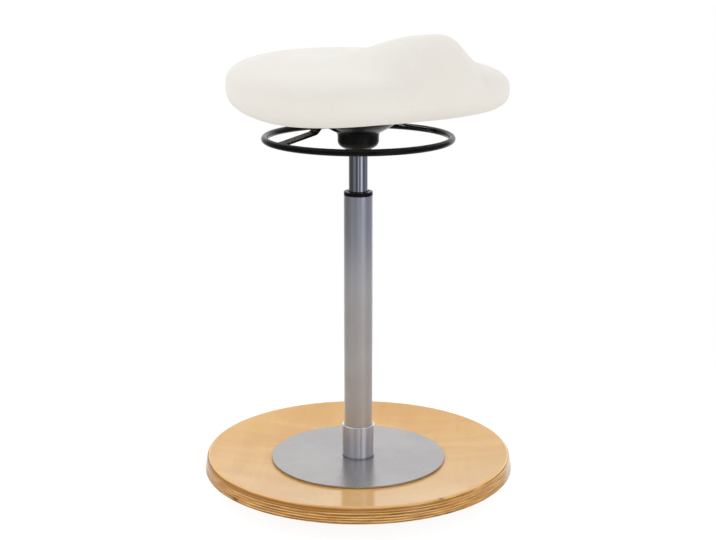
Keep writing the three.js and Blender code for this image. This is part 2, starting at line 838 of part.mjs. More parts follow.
// Finishes
const finishes = {
  treadRubber: { color: 0x2b2a29, roughness: 0.9, metalness: 0 },
  softRubber: { color: 0x3a3836, roughness: 0.95, metalness: 0 },
  birch: { color: 0xe4c090, roughness: 0.25, metalness: 0 },
  beech: { color: 0xc9a87c, roughness: 0.7, metalness: 0 },
  satinSteel: { color: 0xbdbbb7, roughness: 0.35, metalness: 0.75 },
  zinc: { color: 0x9b9d9f, roughness: 0.4, metalness: 0.9 },
  chrome: { color: 0xe8e8ec, roughness: 0.08, metalness: 1 },
  bearingSteel: { color: 0xb4b6ba, roughness: 0.25, metalness: 1 },
  blackPlastic: { color: 0x151515, roughness: 0.45, metalness: 0 },
  blackSteel: { color: 0x1b1a1a, roughness: 0.4, metalness: 0.5 },
  redPlastic: { color: 0x8c1f1c, roughness: 0.5, metalness: 0 },
  foam: { color: 0xe6d9a8, roughness: 1, metalness: 0 },
  fabric: { color: 0xeae6df, roughness: 0.95, metalness: 0 },
};

const stool = new THREE.Group();

function add(name, geometry, finish) {
  const mesh = new THREE.Mesh(geometry, new THREE.MeshStandardMaterial(finishes[finish]));
  mesh.name = name;
  stool.add(mesh);
  return mesh;
}

function addRound(name, count, circle, geometry, finish) {
  circlePlaces(count, circle).forEach(([x, y], i) => {
    add(`${name}_${i + 1}`, geometry, finish).position.set(x, y, 0);
  });
}

// Foot and base
add("foot_sole", footSole(), "treadRubber");
add("foot_cushion", footCushion(), "softRubber");
add("base_dish", baseDish(), "birch");
add("levelling_pad", levellingPad(), "beech");
const weldNut = hexNut(nutFlats, screwShank + gap, nutBottomZ, discBottomZ);
addRound("weld_nut", baseScrewCount, baseScrewCircle, weldNut, "zinc");
addRound("base_screw", baseScrewCount, baseScrewCircle, baseScrew(), "zinc");
add("base_disc", baseDisc(), "satinSteel");

// Column and thrust bearing
add("column_collar", columnCollar(), "satinSteel");
add("column_tube", columnTube(), "satinSteel");
add("column_floor", sleeve(tailRadius + gap, tubeBore - gap, floorZ, lowerWasherZ), "zinc");
add("bearing_washer_lower", bearingWasher(lowerWasherZ), "bearingSteel");
add("bearing_race", bearingRace(), "bearingSteel");
add("bearing_washer_upper", bearingWasher(upperWasherZ), "bearingSteel");
add("rod_damper", rodDamper(), "softRubber");
add("guide_bush", guideBush(), "blackPlastic");

// Gas lift
add("piston_rod", pistonRod(), "chrome");
add("piston_head", sleeve(tailRadius, liftBore - gap, pistonZ, pistonZ + pistonHeight), "blackPlastic");
add("retaining_clip", retainingClip(), "zinc");
add("pressure_tube", pressureTube(), "chrome");
add("rod_guide", rodGuide(), "blackPlastic");
add("valve_block", valveBlock(), "zinc");
add("valve_button", valveButton(), "redPlastic");

// Seat carrier
add("taper_socket", taperSocket(), "blackSteel");
add("trim_cup", trimCup(), "blackPlastic");
add("carrier_dish", carrierDish(), "blackSteel");
add("carrier_plate", carrierPlate(), "blackSteel");
add("pivot_boss", rod(hubRadius, bossBottomZ, plateBottomZ, roundSegments), "blackSteel");

// Ring lever
add("lever_hub", rod(hubRadius, strapBottomZ + strapThickness, hubTopZ, roundSegments), "blackSteel");
add("lever_strap", leverStrap(), "blackSteel");
add("lever_ring", ringRod(), "blackSteel");

// Seat
add("seat_board", seatBoard(), "beech");
addRound("tee_nut", seatScrewCount, seatScrewCircle, teeNut(), "zinc");
addRound("seat_screw", seatScrewCount, seatScrewCircle, seatScrew(), "zinc");
add("seat_foam", seatFoam(), "foam");
add("seat_cover", seatCover(), "fabric");

export default stool;
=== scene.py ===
import math

import bmesh
import bpy
from mathutils import Matrix, Vector


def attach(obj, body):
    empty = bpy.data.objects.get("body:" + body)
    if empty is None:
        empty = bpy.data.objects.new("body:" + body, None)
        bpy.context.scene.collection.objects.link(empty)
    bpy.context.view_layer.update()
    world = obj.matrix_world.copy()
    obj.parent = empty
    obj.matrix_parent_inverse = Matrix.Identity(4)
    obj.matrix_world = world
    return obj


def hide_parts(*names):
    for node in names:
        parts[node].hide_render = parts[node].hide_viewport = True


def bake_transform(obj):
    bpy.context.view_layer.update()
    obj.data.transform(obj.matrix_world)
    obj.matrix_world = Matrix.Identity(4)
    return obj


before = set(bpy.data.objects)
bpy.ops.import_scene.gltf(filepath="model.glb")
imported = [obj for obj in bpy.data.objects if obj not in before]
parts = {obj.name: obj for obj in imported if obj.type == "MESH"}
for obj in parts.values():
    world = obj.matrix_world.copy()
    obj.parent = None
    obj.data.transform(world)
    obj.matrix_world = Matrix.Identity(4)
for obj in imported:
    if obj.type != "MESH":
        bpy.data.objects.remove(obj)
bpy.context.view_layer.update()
scene = bpy.context.scene
scene.view_settings.view_transform = "Standard"
MM = 0.001  # sizes are in millimetres unless their comment says otherwise


# Tread sole. A round pad of hard-wearing rubber that stands on the floor, moulded with ring grooves for
# grip. It is bonded under the soft cushion of the foot.
sole_radius = 62
sole_thickness = 3
sole_edge = 1
sole_top_edge = 0.4
groove_circles = (14, 26, 38, 50)
groove_width = 3
groove_depth = 1.2
groove_lip = 0.4
rubber_black = (38, 36, 34)
rubber_dusty = (74, 70, 65)


def into_scene(shape, name, crease=32):
    """Makes an object of a bmesh: smooth faces, with sharp edges where faces meet at more than crease degrees."""
    for face in shape.faces:
        face.smooth = True
    for edge in shape.edges:
        edge.smooth = edge.calc_face_angle(math.pi) < math.radians(crease)
    mesh = bpy.data.meshes.new(name)
    shape.to_mesh(mesh)
    shape.free()
    piece = bpy.data.objects.new(name, mesh)
    scene.collection.objects.link(piece)
    return piece


def even_shading(piece):
    """Lets the large faces decide the shading, so that a rounded corner leaves them flat."""
    shading = piece.modifiers.new("even_shading", "WEIGHTED_NORMAL")
    shading.keep_sharp = True
    return piece


def rounded(shape, items, size, steps, affect="EDGES"):
    """Rounds edges or corners by a size in millimetres."""
    bmesh.ops.bevel(shape, geom=items, offset=size * MM, offset_type="OFFSET", segments=steps, profile=0.5,
                    affect=affect, material=-1, clamp_overlap=False)


def spun(shape, around):
    """Spins a section about the column's axis, merges its seam and turns its faces outwards."""
    bmesh.ops.spin(shape, geom=shape.verts[:] + shape.edges[:], cent=(0, 0, 0), axis=(0, 0, 1),
                   angle=2 * math.pi, steps=around, use_merge=True)
    bmesh.ops.remove_doubles(shape, verts=shape.verts[:], dist=1e-6)
    bmesh.ops.recalc_face_normals(shape, faces=shape.faces[:])


def turned(name, section, around=128, crease=32):
    """Turns a section on the column's axis. Each corner is (radius, height) or (radius, height, rounding), in
    millimetres. A section that starts and ends on the axis is solid, and any other is a ring."""
    shape = bmesh.new()
    corners = [shape.verts.new((corner[0] * MM, 0, corner[1] * MM)) for corner in section]
    for first, second in zip(corners, corners[1:]):
        shape.edges.new((first, second))
    if section[0][0] > 0:
        shape.edges.new((corners[-1], corners[0]))
    for vertex, corner in zip(corners, section):
        if len(corner) == 3:
            rounded(shape, [vertex], corner[2], 5, "VERTICES")
    spun(shape, around)
    return even_shading(into_scene(shape, name, crease))


def colour(red, green, blue):
    """A colour as seen on a screen, 0 to 255, as the linear colour that a shader takes."""
    steps = [value / 255 for value in (red, green, blue)]
    return [step / 12.92 if step <= 0.04045 else ((step + 0.055) / 1.055) ** 2.4 for step in steps] + [1]


def fit(node, inputs):
    """Gives a node its inputs. One that is given a socket is wired to it, and any other is set to its value."""
    for key, value in inputs.items():
        if isinstance(value, bpy.types.NodeSocket):
            node.id_data.links.new(value, node.inputs[key])
        else:
            node.inputs[key].default_value = value


def put(tree, kind, inputs=None, **settings):
    """Places a node with its settings and inputs."""
    node = tree.nodes.new(kind)
    for setting, value in settings.items():
        setattr(node, setting, value)
    fit(node, inputs or {})
    return node


def worked(kind, inputs, **settings):
    """Places a node beside the sockets that it is given, and gives its outputs."""
    tree = next(value.id_data for value in inputs.values() if isinstance(value, bpy.types.NodeSocket))
    return put(tree, kind, inputs, **settings).outputs


def maths(operation, *values):
    """Works with one or two numbers that change over the surface."""
    return worked("ShaderNodeMath", dict(enumerate(values)), operation=operation)[0]


def spread(value, low, high, to_low=0, to_high=1):
    """Stretches a value from one range to another, and holds it at the ends."""
    return worked("ShaderNodeMapRange", {0: value, 1: low, 2: high, 3: to_low, 4: to_high},
                  interpolation_type="SMOOTHSTEP")[0]


def tinted(share, below, above, way="MIX"):
    """Goes from one colour to another by a share."""
    return worked("ShaderNodeMix", {0: share, 6: below, 7: above}, data_type="RGBA", blend_type=way)[2]


def clouds(place, scale, detail=2, roughness=0.5, distortion=0):
    """Soft noise, from 0 to 1."""
    return worked("ShaderNodeTexNoise", {"Vector": place, "Scale": scale, "Detail": detail,
                                         "Roughness": roughness, "Distortion": distortion})[0]


def stretched(place, scales, turn=(0, 0, 0)):
    """Scales a pattern along each axis, and then turns it."""
    return worked("ShaderNodeMapping", {"Vector": place, "Rotation": turn, "Scale": scales})[0]


def new_finish(name):
    """A material with an empty Principled shader, and the place on the object for its patterns."""
    finish = bpy.data.materials.new(name)
    finish.use_nodes = True
    tree = finish.node_tree
    tree.nodes.clear()
    shader = put(tree, "ShaderNodeBsdfPrincipled")
    put(tree, "ShaderNodeOutputMaterial", {"Surface": shader.outputs[0]})
    return finish, shader, put(tree, "ShaderNodeTexCoord").outputs["Object"]


def relief(height, strength, depth):
    """A bump that is depth metres deep."""
    return worked("ShaderNodeBump", {"Height": height, "Strength": strength, "Distance": depth})[0]


def shared_effect(name, takes, gives):
    """Starts a node group with named inputs and outputs. Gives the group, what it is given and its end."""
    effect = bpy.data.node_groups.new(name, "ShaderNodeTree")
    for label, kind, value in takes:
        socket = effect.interface.new_socket(name=label, in_out="INPUT", socket_type="NodeSocket" + kind)
        if value is not None:
            socket.default_value = value
    for label, kind in gives:
        effect.interface.new_socket(name=label, in_out="OUTPUT", socket_type="NodeSocket" + kind)
    return effect, put(effect, "NodeGroupInput").outputs, put(effect, "NodeGroupOutput")


def use(effect, inputs):
    """Places a shared effect in a material, and gives its outputs."""
    return worked("ShaderNodeGroup", inputs, node_tree=effect)


surface_life, given, end = shared_effect(
    "surface_life",
    [("Place", "Vector", None), ("Cloud Scale", "Float", 20), ("Grain Scale", "Float", 800),
     ("Hairline Scale", "Float", 30)],
    [("Cloud", "Float"), ("Grain", "Float"), ("Hairlines", "Float"), ("Dust", "Float")])
soft_cloud = clouds(given["Place"], given["Cloud Scale"], 3, 0.55)
fine_grain = clouds(given["Place"], given["Grain Scale"], 2, 0.6)
swirl = clouds(stretched(given["Place"], (1, 6, 1), (0.7, 0.4, 0.9)), given["Hairline Scale"], 1, 0.4, 0.3)
line = spread(maths("ABSOLUTE", maths("SUBTRACT", swirl, 0.5)), 0, 0.006, 1, 0)
patches = spread(clouds(given["Place"], 45, 1), 0.56, 0.66)
specks = spread(clouds(given["Place"], 1400, 1), 0.68, 0.74)
fit(end, {"Cloud": soft_cloud, "Grain": fine_grain, "Hairlines": maths("MULTIPLY", line, patches),
          "Dust": specks})


def rubber_finish(name, dark, dusty, grain_scale, grain_depth):
    """Matt moulded rubber with a dusty bloom in patches and a fine pebbled skin."""
    finish, shader, place = new_finish(name)
    life = use(surface_life, {"Place": place, "Cloud Scale": 28, "Grain Scale": grain_scale})
    bloom = spread(life["Cloud"], 0.42, 0.72)
    skin = tinted(maths("MULTIPLY", bloom, 0.5), colour(*dark), colour(*dusty))
    fit(shader, {
        "Base Color": tinted(maths("MULTIPLY", life["Dust"], 0.35), skin, colour(*dusty)),
        "Roughness": spread(life["Cloud"], 0.3, 0.7, 0.72, 0.92),
        "Specular IOR Level": 0.35,
        "Normal": relief(life["Grain"], 0.5, grain_depth)})
    return finish


tread_rubber = rubber_finish("tread_rubber", rubber_black, rubber_dusty, 900, 0.0003)
sole_section = [(0, 0)]
for circle in groove_circles:
    near, far = circle - groove_width / 2, circle + groove_width / 2
    sole_section += [(near, 0, groove_lip), (near, groove_depth), (far, groove_depth), (far, 0, groove_lip)]
sole_section += [(sole_radius, 0, sole_edge), (sole_radius, sole_thickness, sole_top_edge), (0, sole_thickness)]
tread = turned("tread", sole_section)
tread.data.materials.append(tread_rubber)
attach(tread, "sole")
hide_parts("foot_sole")


# Soft cushion of the foot. One puck of soft rubber with a drawn-in side, bonded to the sole and to the
# plywood. It squeezes on one side as the stool rocks. It is made as two halves, one above the other.
puck_radius = 62
puck_waist = 3
puck_middle = 7
puck_top = 9.7
puck_rim = puck_top + 1.4
puck_bowl = 1375
puck_steps = 5
puck_top_radii = (45, 30, 15)
soft_rubber = rubber_finish("soft_rubber", (52, 50, 47), (88, 84, 78), 600, 0.0002)


def bowl_rise(ball, radius):
    """How far a bowl pressed to a ball of that radius has risen above its lowest point, in millimetres."""
    return ball - math.sqrt(ball ** 2 - radius ** 2)


def puck_side(low, high):
    """Points up the puck's drawn-in side between two heights."""
    levels = [low + (high - low) * step / puck_steps for step in range(puck_steps + 1)]
    shares = [(level - sole_thickness) / (puck_rim - sole_thickness) for level in levels]
    return [(puck_radius - puck_waist * math.sin(math.pi * share), level) for share, level in zip(shares, levels)]


lower_puck = turned("lower_puck", [
    (0, sole_thickness), *puck_side(sole_thickness, puck_middle), (0, puck_middle)])
upper_puck = turned("upper_puck", [
    (0, puck_middle), *puck_side(puck_middle, puck_rim),
    *((radius, puck_top + bowl_rise(puck_bowl, radius)) for radius in puck_top_radii), (0, puck_top)])
for puck, low_body, high_body, low_level, high_level in (
        (lower_puck, "sole", "cushion", sole_thickness, puck_middle),
        (upper_puck, "cushion", "base", puck_middle, puck_top)):
    puck.data.materials.append(soft_rubber)
    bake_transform(puck)
    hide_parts("foot_cushion")


# Base dish. Birch veneers glued crosswise in a press to a shallow bowl, turned round with its edge square
# to the faces, arrises rounded, and finished with clear gloss lacquer. Four screws come up from below.
dish_ball = 1350
dish_low = 35
dish_thickness = 25
dish_corner = 228
dish_bore = 20
dish_top_arris = 5
dish_low_arris = 3
dish_bore_edge = 0.8
screw_count = 4
screw_circle = 85
screw_hole = 4.3
counterbore_radius = 8
counterbore_depth = 8
under_dish = -2
over_dish = 60
drill_overlap = 1
grain_turn = math.radians(-52)
birch_light = (230, 181, 103)
birch_deep = (219, 167, 86)
birch_orange = (214, 153, 72)
birch_pale = (235, 191, 118)
ply_dark = (140, 90, 38)
ply_amber = (202, 144, 70)
ply_cream = (246, 202, 128)
ply_brown = (168, 108, 44)
knot_brown = (96, 54, 24)
brown_bearing = -2.95
# Glue joints of the plywood, as shares of its thickness from the upper face.
ply_joints = (0.07, 0.13, 0.24, 0.30, 0.37, 0.43, 0.54, 0.60, 0.675, 0.74, 0.82, 0.88, 0.945)
joint_blur = 0.008


def round_places(count, circle):
    """Places on a circle in millimetres, the first one half a step round."""
    turns = [(step + 0.5) / count * 2 * math.pi for step in range(count)]
    return [(circle * math.cos(turn), circle * math.sin(turn)) for turn in turns]


def cut_from(piece, cutter_shape):
    """Cuts a bmesh out of a piece for good. The piece's other modifiers wait meanwhile."""
    bmesh.ops.recalc_face_normals(cutter_shape, faces=cutter_shape.faces[:])
    cutter = into_scene(cutter_shape, "cutter")
    others = piece.modifiers[:]
    for modifier in others:
        modifier.show_viewport = False
    cutting = piece.modifiers.new("cutting", "BOOLEAN")
    cutting.object = cutter
    cutting.operation = "DIFFERENCE"
    cutting.solver = "EXACT"
    bpy.context.view_layer.update()
    solved = piece.evaluated_get(bpy.context.evaluated_depsgraph_get())
    finished = bpy.data.meshes.new_from_object(solved)
    piece.modifiers.remove(cutting)
    for modifier in others:
        modifier.show_viewport = True
    old = piece.data
    piece.data = finished
    bpy.data.meshes.remove(old)
    bpy.data.objects.remove(cutter)


def at(across, along, level):
    """The move to a place in millimetres."""
    return Matrix.Translation((across * MM, along * MM, level * MM))


def drills(places, radius, low, high, sides=48):
    """Upright cylinders at each place, in millimetres, as one shape to cut with."""
    shape = bmesh.new()
    for across, along in places:
        bmesh.ops.create_cone(shape, cap_ends=True, segments=sides, radius1=radius * MM, radius2=radius * MM,
                              depth=(high - low) * MM, matrix=at(across, along, (low + high) / 2))
    return shape


def dish_corner_at(depth):
    """A sharp corner of the dish's edge, depth below the upper face."""
    ball = dish_ball + depth
    turn = math.asin(dish_corner / dish_ball)
    return ball * math.sin(turn), dish_low + dish_ball - ball * math.cos(turn)


def dish_face(ball, low, from_radius, to_radius, steps=12):
    """Points of one face of the dish between two radii, without the last."""
    radii = [from_radius + (to_radius - from_radius) * step / steps for step in range(steps)]
    return [(radius, low + bowl_rise(ball, radius)) for radius in radii]


upper_corner = dish_corner_at(0)
lower_corner = dish_corner_at(dish_thickness)
dish_under_ball = dish_ball + dish_thickness
dish_under_low = dish_low - dish_thickness
dish = turned("birch_dish", [
    (dish_bore, dish_low + bowl_rise(dish_ball, dish_bore), dish_bore_edge),
    *dish_face(dish_ball, dish_low, dish_bore, upper_corner[0])[1:],
    (*upper_corner, dish_top_arris), (*lower_corner, dish_low_arris),
    *dish_face(dish_under_ball, dish_under_low, lower_corner[0], dish_bore)[1:],
    (dish_bore, dish_under_low + bowl_rise(dish_under_ball, dish_bore), dish_bore_edge)],
    around=256, crease=40)
screw_seat = dish_under_low + bowl_rise(dish_under_ball, screw_circle) + counterbore_depth
screw_places = round_places(screw_count, screw_circle)
cut_from(dish, drills(screw_places, counterbore_radius, under_dish, screw_seat))
cut_from(dish, drills(screw_places, screw_hole, screw_seat - drill_overlap, over_dish))

wood_figure, given, end = shared_effect(
    "wood_figure",
    [("Place", "Vector", None), ("Grain Turn", "Vector", (0, 0, 0))],
    [("Figure", "Float"), ("Fibre", "Float"), ("Pores", "Float"), ("Shimmer", "Float"), ("Blotches", "Float")])
along_grain = stretched(given["Place"], (1, 1, 1), given["Grain Turn"])
fit(end, {
    "Figure": clouds(stretched(along_grain, (2.2, 15, 15)), 1, 5, 0.55, 0.9),
    "Fibre": clouds(stretched(along_grain, (14, 420, 420)), 1, 3, 0.6),
    "Pores": spread(clouds(stretched(along_grain, (90, 1500, 1500)), 1, 1), 0.62, 0.74),
    "Shimmer": clouds(stretched(along_grain, (26, 7, 7)), 1, 2, 0.5, 0.5),
    "Blotches": clouds(along_grain, 7, 2, 0.45, 0.4)})


def axes(place):
    """A place as its three numbers."""
    return worked("ShaderNodeSeparateXYZ", {0: place})


def arrows(operation, *values):
    """Works with one or two places or directions."""
    return worked("ShaderNodeVectorMath", dict(enumerate(values)), operation=operation)


birch_ply, shader, place = new_finish("birch_ply")
from_centre = arrows("LENGTH", arrows("ADD", place, (0, 0, -(dish_low + dish_ball) * MM))[0])["Value"]
true_depth = maths("DIVIDE", maths("SUBTRACT", from_centre, dish_ball * MM), dish_thickness * MM)
wander = spread(clouds(stretched(place, (9, 9, 60)), 1, 2), 0.2, 0.8, -0.35, 0.35)
ply_depth = maths("ADD", true_depth, maths("MULTIPLY", wander, 1 / dish_thickness))
crosswise = worked("ShaderNodeValToRGB", {0: ply_depth})[0]
bands = crosswise.node.color_ramp.elements
bands[0].color = bands[1].color = (0, 0, 0, 1)
for number, joint in enumerate(ply_joints):
    above, below = (0, 1) if number % 2 == 0 else (1, 0)
    bands.new(joint - joint_blur).color = (above, above, above, 1)
    bands.new(joint + joint_blur).color = (below, below, below, 1)
bands[-1].color = (1, 1, 1, 1)
bearing = maths("ARCTAN2", axes(place)[1], axes(place)[0])
along_edge = maths("ABSOLUTE", maths("COSINE", maths("ADD", bearing, grain_turn)))
end_grain = maths("ABSOLUTE", maths("SUBTRACT", crosswise, spread(along_edge, 0.2, 0.95)))
edge_streaks = clouds(stretched(place, (26, 26, 620)), 1, 3, 0.6)
edge_fibre = clouds(stretched(place, (500, 500, 700)), 1, 2, 0.6)
ply_tone = maths("ADD", maths("MULTIPLY", end_grain, 0.62), spread(edge_streaks, 0.3, 0.7, 0, 0.5))
glue = maths("SUBTRACT", 1, maths("ABSOLUTE", maths("SUBTRACT", maths("MULTIPLY", crosswise, 2), 1)))
upper_plies = maths("MINIMUM", spread(ply_depth, 0.07, 0.1), spread(ply_depth, 0.29, 0.36, 1, 0))
brown_side = maths("COSINE", maths("SUBTRACT", bearing, brown_bearing))
edge_wood = tinted(spread(ply_tone, 0.1, 0.62), colour(*ply_cream), colour(*ply_amber))
for share, tone in (
        (spread(ply_tone, 0.55, 1.05), ply_dark),
        (spread(glue, 0.1, 0.9, 0, 0.42), ply_dark),
        (spread(edge_fibre, 0.4, 0.7, 0, 0.2), ply_dark),
        (maths("MULTIPLY", upper_plies, spread(brown_side, 0.1, 0.85, 0, 0.7)), ply_brown),
        (maths("MULTIPLY", upper_plies, spread(brown_side, -0.85, 0.1, 0.4, 0)), ply_cream),
        (spread(ply_depth, 0.05, 0.08, 0.75, 0), ply_cream),
        (spread(clouds(stretched(place, (28, 28, 150)), 1, 1), 0.7, 0.78, 0, 0.7), knot_brown)):
    edge_wood = tinted(share, edge_wood, colour(*tone))
wood = use(wood_figure, {"Place": place, "Grain Turn": (0, 0, grain_turn)})
veneer = tinted(spread(wood["Figure"], 0.3, 0.7), colour(*birch_light), colour(*birch_deep))
for mark, share, tone in (
        ("Blotches", 0.5, birch_orange), ("Shimmer", 0.5, birch_pale), ("Fibre", 0.1, birch_orange)):
    veneer = tinted(spread(wood[mark], 0.45, 0.75, 0, share), veneer, colour(*tone))
veneer = tinted(maths("MULTIPLY", wood["Pores"], 0.08), veneer, colour(*ply_dark))
on_face = maths("MAXIMUM", spread(true_depth, 0.004, 0.02, 1, 0), spread(true_depth, 0.98, 0.996))
life = use(surface_life, {"Place": place, "Cloud Scale": 9, "Grain Scale": 260, "Hairline Scale": 16})
fit(shader, {
    "Base Color": tinted(on_face, edge_wood, veneer),
    "Roughness": spread(wood["Fibre"], 0.3, 0.7, 0.42, 0.55),
    "Specular IOR Level": 0.12,
    "Coat Weight": spread(life["Hairlines"], 0, 1, 1, 0.8),
    "Coat Roughness": 0.13,
    "Coat IOR": 1.5,
    "Normal": relief(wood["Fibre"], 0.12, 0.00012)})
dish.data.materials.append(birch_ply)
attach(dish, "base")
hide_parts("base_dish")


# Levelling pad. A turned pad of beech plywood, hollowed below to the dish and flat above, so that the
# steel disc beds evenly. The four weld nuts hang in its pockets.
def plain_wood(name, pale, deep, turn, roughness):
    """Bare sanded wood with a fine figure."""
    finish, shader, place = new_finish(name)
    wood = use(wood_figure, {"Place": place, "Grain Turn": (0, 0, turn)})
    face = tinted(spread(wood["Figure"], 0.3, 0.7), colour(*pale), colour(*deep))
    face = tinted(maths("MULTIPLY", wood["Pores"], 0.4), face, colour(*ply_dark))
    fit(shader, {
        "Base Color": face,
        "Roughness": spread(wood["Fibre"], 0.3, 0.7, roughness - 0.08, roughness + 0.08),
        "Normal": relief(wood["Fibre"], 0.3, 0.0002)})
    return finish


def coated(finish, *names):
    """Gives a finish to CAD nodes that are shown as they are."""
    for name in names:
        parts[name].material_slots[0].material = finish


beech = plain_wood("beech", (201, 168, 124), (176, 136, 92), 0.3, 0.7)
coated(beech, "levelling_pad")


# Weld nuts and base screws. Zinc-plated M8 fasteners: the nuts are welded under the steel disc, and the
# socket-head screws come up through the plywood, their heads sunk in its underside.
screw_head_radius = 6.5
screw_head_height = 6
screw_shank = 4
screw_tip = 41.4
screw_gap = 0.3
screw_edge = 0.7
screw_tip_edge = 0.6
hex_key = 6
key_share = 0.6


def metal_finish(name, bright, dull, metallic, roughness, brush=(1, 1, 1), grain_depth=0.00002, turning=0):
    """Metal with soft clouding, hairlines and a grain. Turning marks run round the upright axis."""
    finish, shader, place = new_finish(name)
    life = use(surface_life, {"Place": stretched(place, brush), "Cloud Scale": 14, "Grain Scale": 900,
                              "Hairline Scale": 22})
    skin = tinted(spread(life["Cloud"], 0.3, 0.7), colour(*bright), colour(*dull))
    skin = tinted(maths("MULTIPLY", life["Hairlines"], 0.12), skin, colour(*dull), "MULTIPLY")
    rough = maths("ADD", spread(life["Cloud"], 0.3, 0.7, roughness * 0.88, roughness * 1.1),
                  spread(life["Grain"], 0.3, 0.7, -0.02, 0.02))
    fit(shader, {
        "Base Color": skin,
        "Metallic": metallic,
        "Roughness": rough,
        "Normal": relief(life["Grain"], 0.15, grain_depth)})
    if turning:
        facing = put(finish.node_tree, "ShaderNodeNewGeometry").outputs["Normal"]
        across = arrows("CROSS_PRODUCT", (0, 0, 1), facing)[0]
        fit(shader, {"Anisotropic": turning, "Tangent": arrows("CROSS_PRODUCT", facing, across)[0]})
    return finish


def socket_screw(name, place, head_low, head_high, tip, head_radius, shank, key):
    """A socket-head screw that points up, with its hexagon socket in the underside of the head."""
    screw = turned(name, [(0, head_low), (head_radius, head_low, screw_edge), (head_radius, head_high),
                          (shank, head_high), (shank, tip, screw_tip_edge), (0, tip)], around=48)
    socket_top = head_low + (head_high - head_low) * key_share
    cut_from(screw, drills([(0, 0)], key / math.sqrt(3), head_low - 2, socket_top, sides=6))
    screw.data.transform(at(*place, 0))
    return screw


zinc_steel = metal_finish("zinc_steel", (176, 178, 182), (142, 146, 152), 1, 0.36)
for number, spot in enumerate(screw_places, 1):
    screw = socket_screw(f"base_socket_screw_{number}", spot, screw_seat - screw_gap - screw_head_height,
                         screw_seat - screw_gap, screw_tip, screw_head_radius, screw_shank, hex_key)
    screw.data.materials.append(zinc_steel)
    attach(screw, "base")
    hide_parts(f"base_screw_{number}")
    coated(zinc_steel, f"weld_nut_{number}")


# Steel disc. Cut from 3 mm plate with its edge broken, and finished in smooth satin silver lacquer. It
# carries the column and spreads its load over the plywood.
disc_low = 41.67
disc_high = 44.67
disc_radius = 131
disc_hole = 13
disc_edge = 0.6
silver_bright = (183, 180, 180)
silver_dull = (175, 172, 173)

satin_steel = metal_finish("satin_steel", silver_bright, silver_dull, 0.76, 0.26)
disc = turned("steel_disc", [(disc_hole, disc_low), (disc_radius, disc_low, disc_edge),
                             (disc_radius, disc_high, disc_edge), (disc_hole, disc_high)], around=256)
disc.data.materials.append(satin_steel)
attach(disc, "base")
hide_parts("base_disc")


# Collar. A slightly flared steel sleeve, 50 mm high, welded to the disc with a smooth bead and lacquered
# with it. The column stands in it.
collar_height = 50
collar_foot = 23.8
collar_mouth = 24.8
collar_bore = 21.5
collar_bead = 0.8
collar_round = 1.2
collar_top = disc_high + collar_height
# Heights between which the collar's foot is painted darker: a painted shade in the corner where it meets the disc.
shade_line_low = disc_high + 0.6
shade_line_high = disc_high + 3.2
shade_line_grey = (70, 71, 76)


def opened(finish):
    """The shader of a finish, what feeds its colour and its roughness, and the height on the object, to add to."""
    shader = next(node for node in finish.node_tree.nodes if node.type == "BSDF_PRINCIPLED")
    skin, rough = (shader.inputs[name].links[0].from_socket for name in ("Base Color", "Roughness"))
    return shader, skin, rough, axes(put(finish.node_tree, "ShaderNodeTexCoord").outputs["Object"])[2]


collar = turned("collar", [(collar_bore, disc_high), (collar_foot + collar_bead, disc_high),
                           (collar_foot + 0.1, disc_high + collar_bead, 0.4),
                           (collar_mouth, collar_top, collar_round), (collar_bore, collar_top, 0.5)])
collar_steel = metal_finish("collar_steel", (238, 241, 252), (229, 232, 244), 0.9, 0.36, turning=1)
shader, skin, _, height = opened(collar_steel)
# Painted shade: the collar darkens towards its foot, in the corner against the disc.
painted_foot_shade = spread(height, shade_line_low * MM, shade_line_high * MM, 0.75, 0)
fit(shader, {"Base Color": tinted(painted_foot_shade, skin, colour(*shade_line_grey))})
collar.data.materials.append(collar_steel)
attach(collar, "base")
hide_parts("column_collar")


# Column tube. A drawn steel tube, 42.4 mm across, lacquered satin silver, with its mouth chamfered. The
# gas lift slides in it. The lacquer is glossier and more metallic towards both ends; at the top the darker
# metallic look and a cooler tint are painted shade under the seat.
column_radius = 21.2
column_bore = 18.7
column_top = 446.67
column_chamfer = 0.7
# Heights in metres of the glossier, more metallic ends and of the cool tint; at the top both are painted shade
# under the seat.
glossy_shaded_top = (0.28, 0.43)
glossier_foot = (0.096, 0.15)
cool_shade_top = (0.26, 0.4)
cool_shade_silver = (197, 201, 212)
column = turned("column", [(column_bore, disc_high), (column_radius, disc_high),
                           (column_radius, column_top, column_chamfer), (column_bore, column_top)], around=160)
tube_steel = metal_finish("tube_steel", (203, 201, 202), (195, 193, 194), 0.6, 0.46, turning=0.3)
shader, skin, rough, height = opened(tube_steel)
# Painted shade: near the top the lacquer turns more metallic and cooler, which darkens it under the seat. Both
# ends are also glossier.
rubbed = maths("MAXIMUM", spread(height, *glossy_shaded_top), spread(height, *glossier_foot, 0.6, 0))
fit(shader, {
    "Base Color": tinted(spread(height, *cool_shade_top), skin, colour(*cool_shade_silver)),
    "Metallic": spread(rubbed, 0, 1, 0.6, 0.85),
    "Roughness": maths("SUBTRACT", rough, maths("MULTIPLY", rubbed, 0.07)),
    "Sheen Weight": 1,
    "Sheen Roughness": 0.28})
column.data.materials.append(tube_steel)
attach(column, "base")
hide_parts("column_tube")


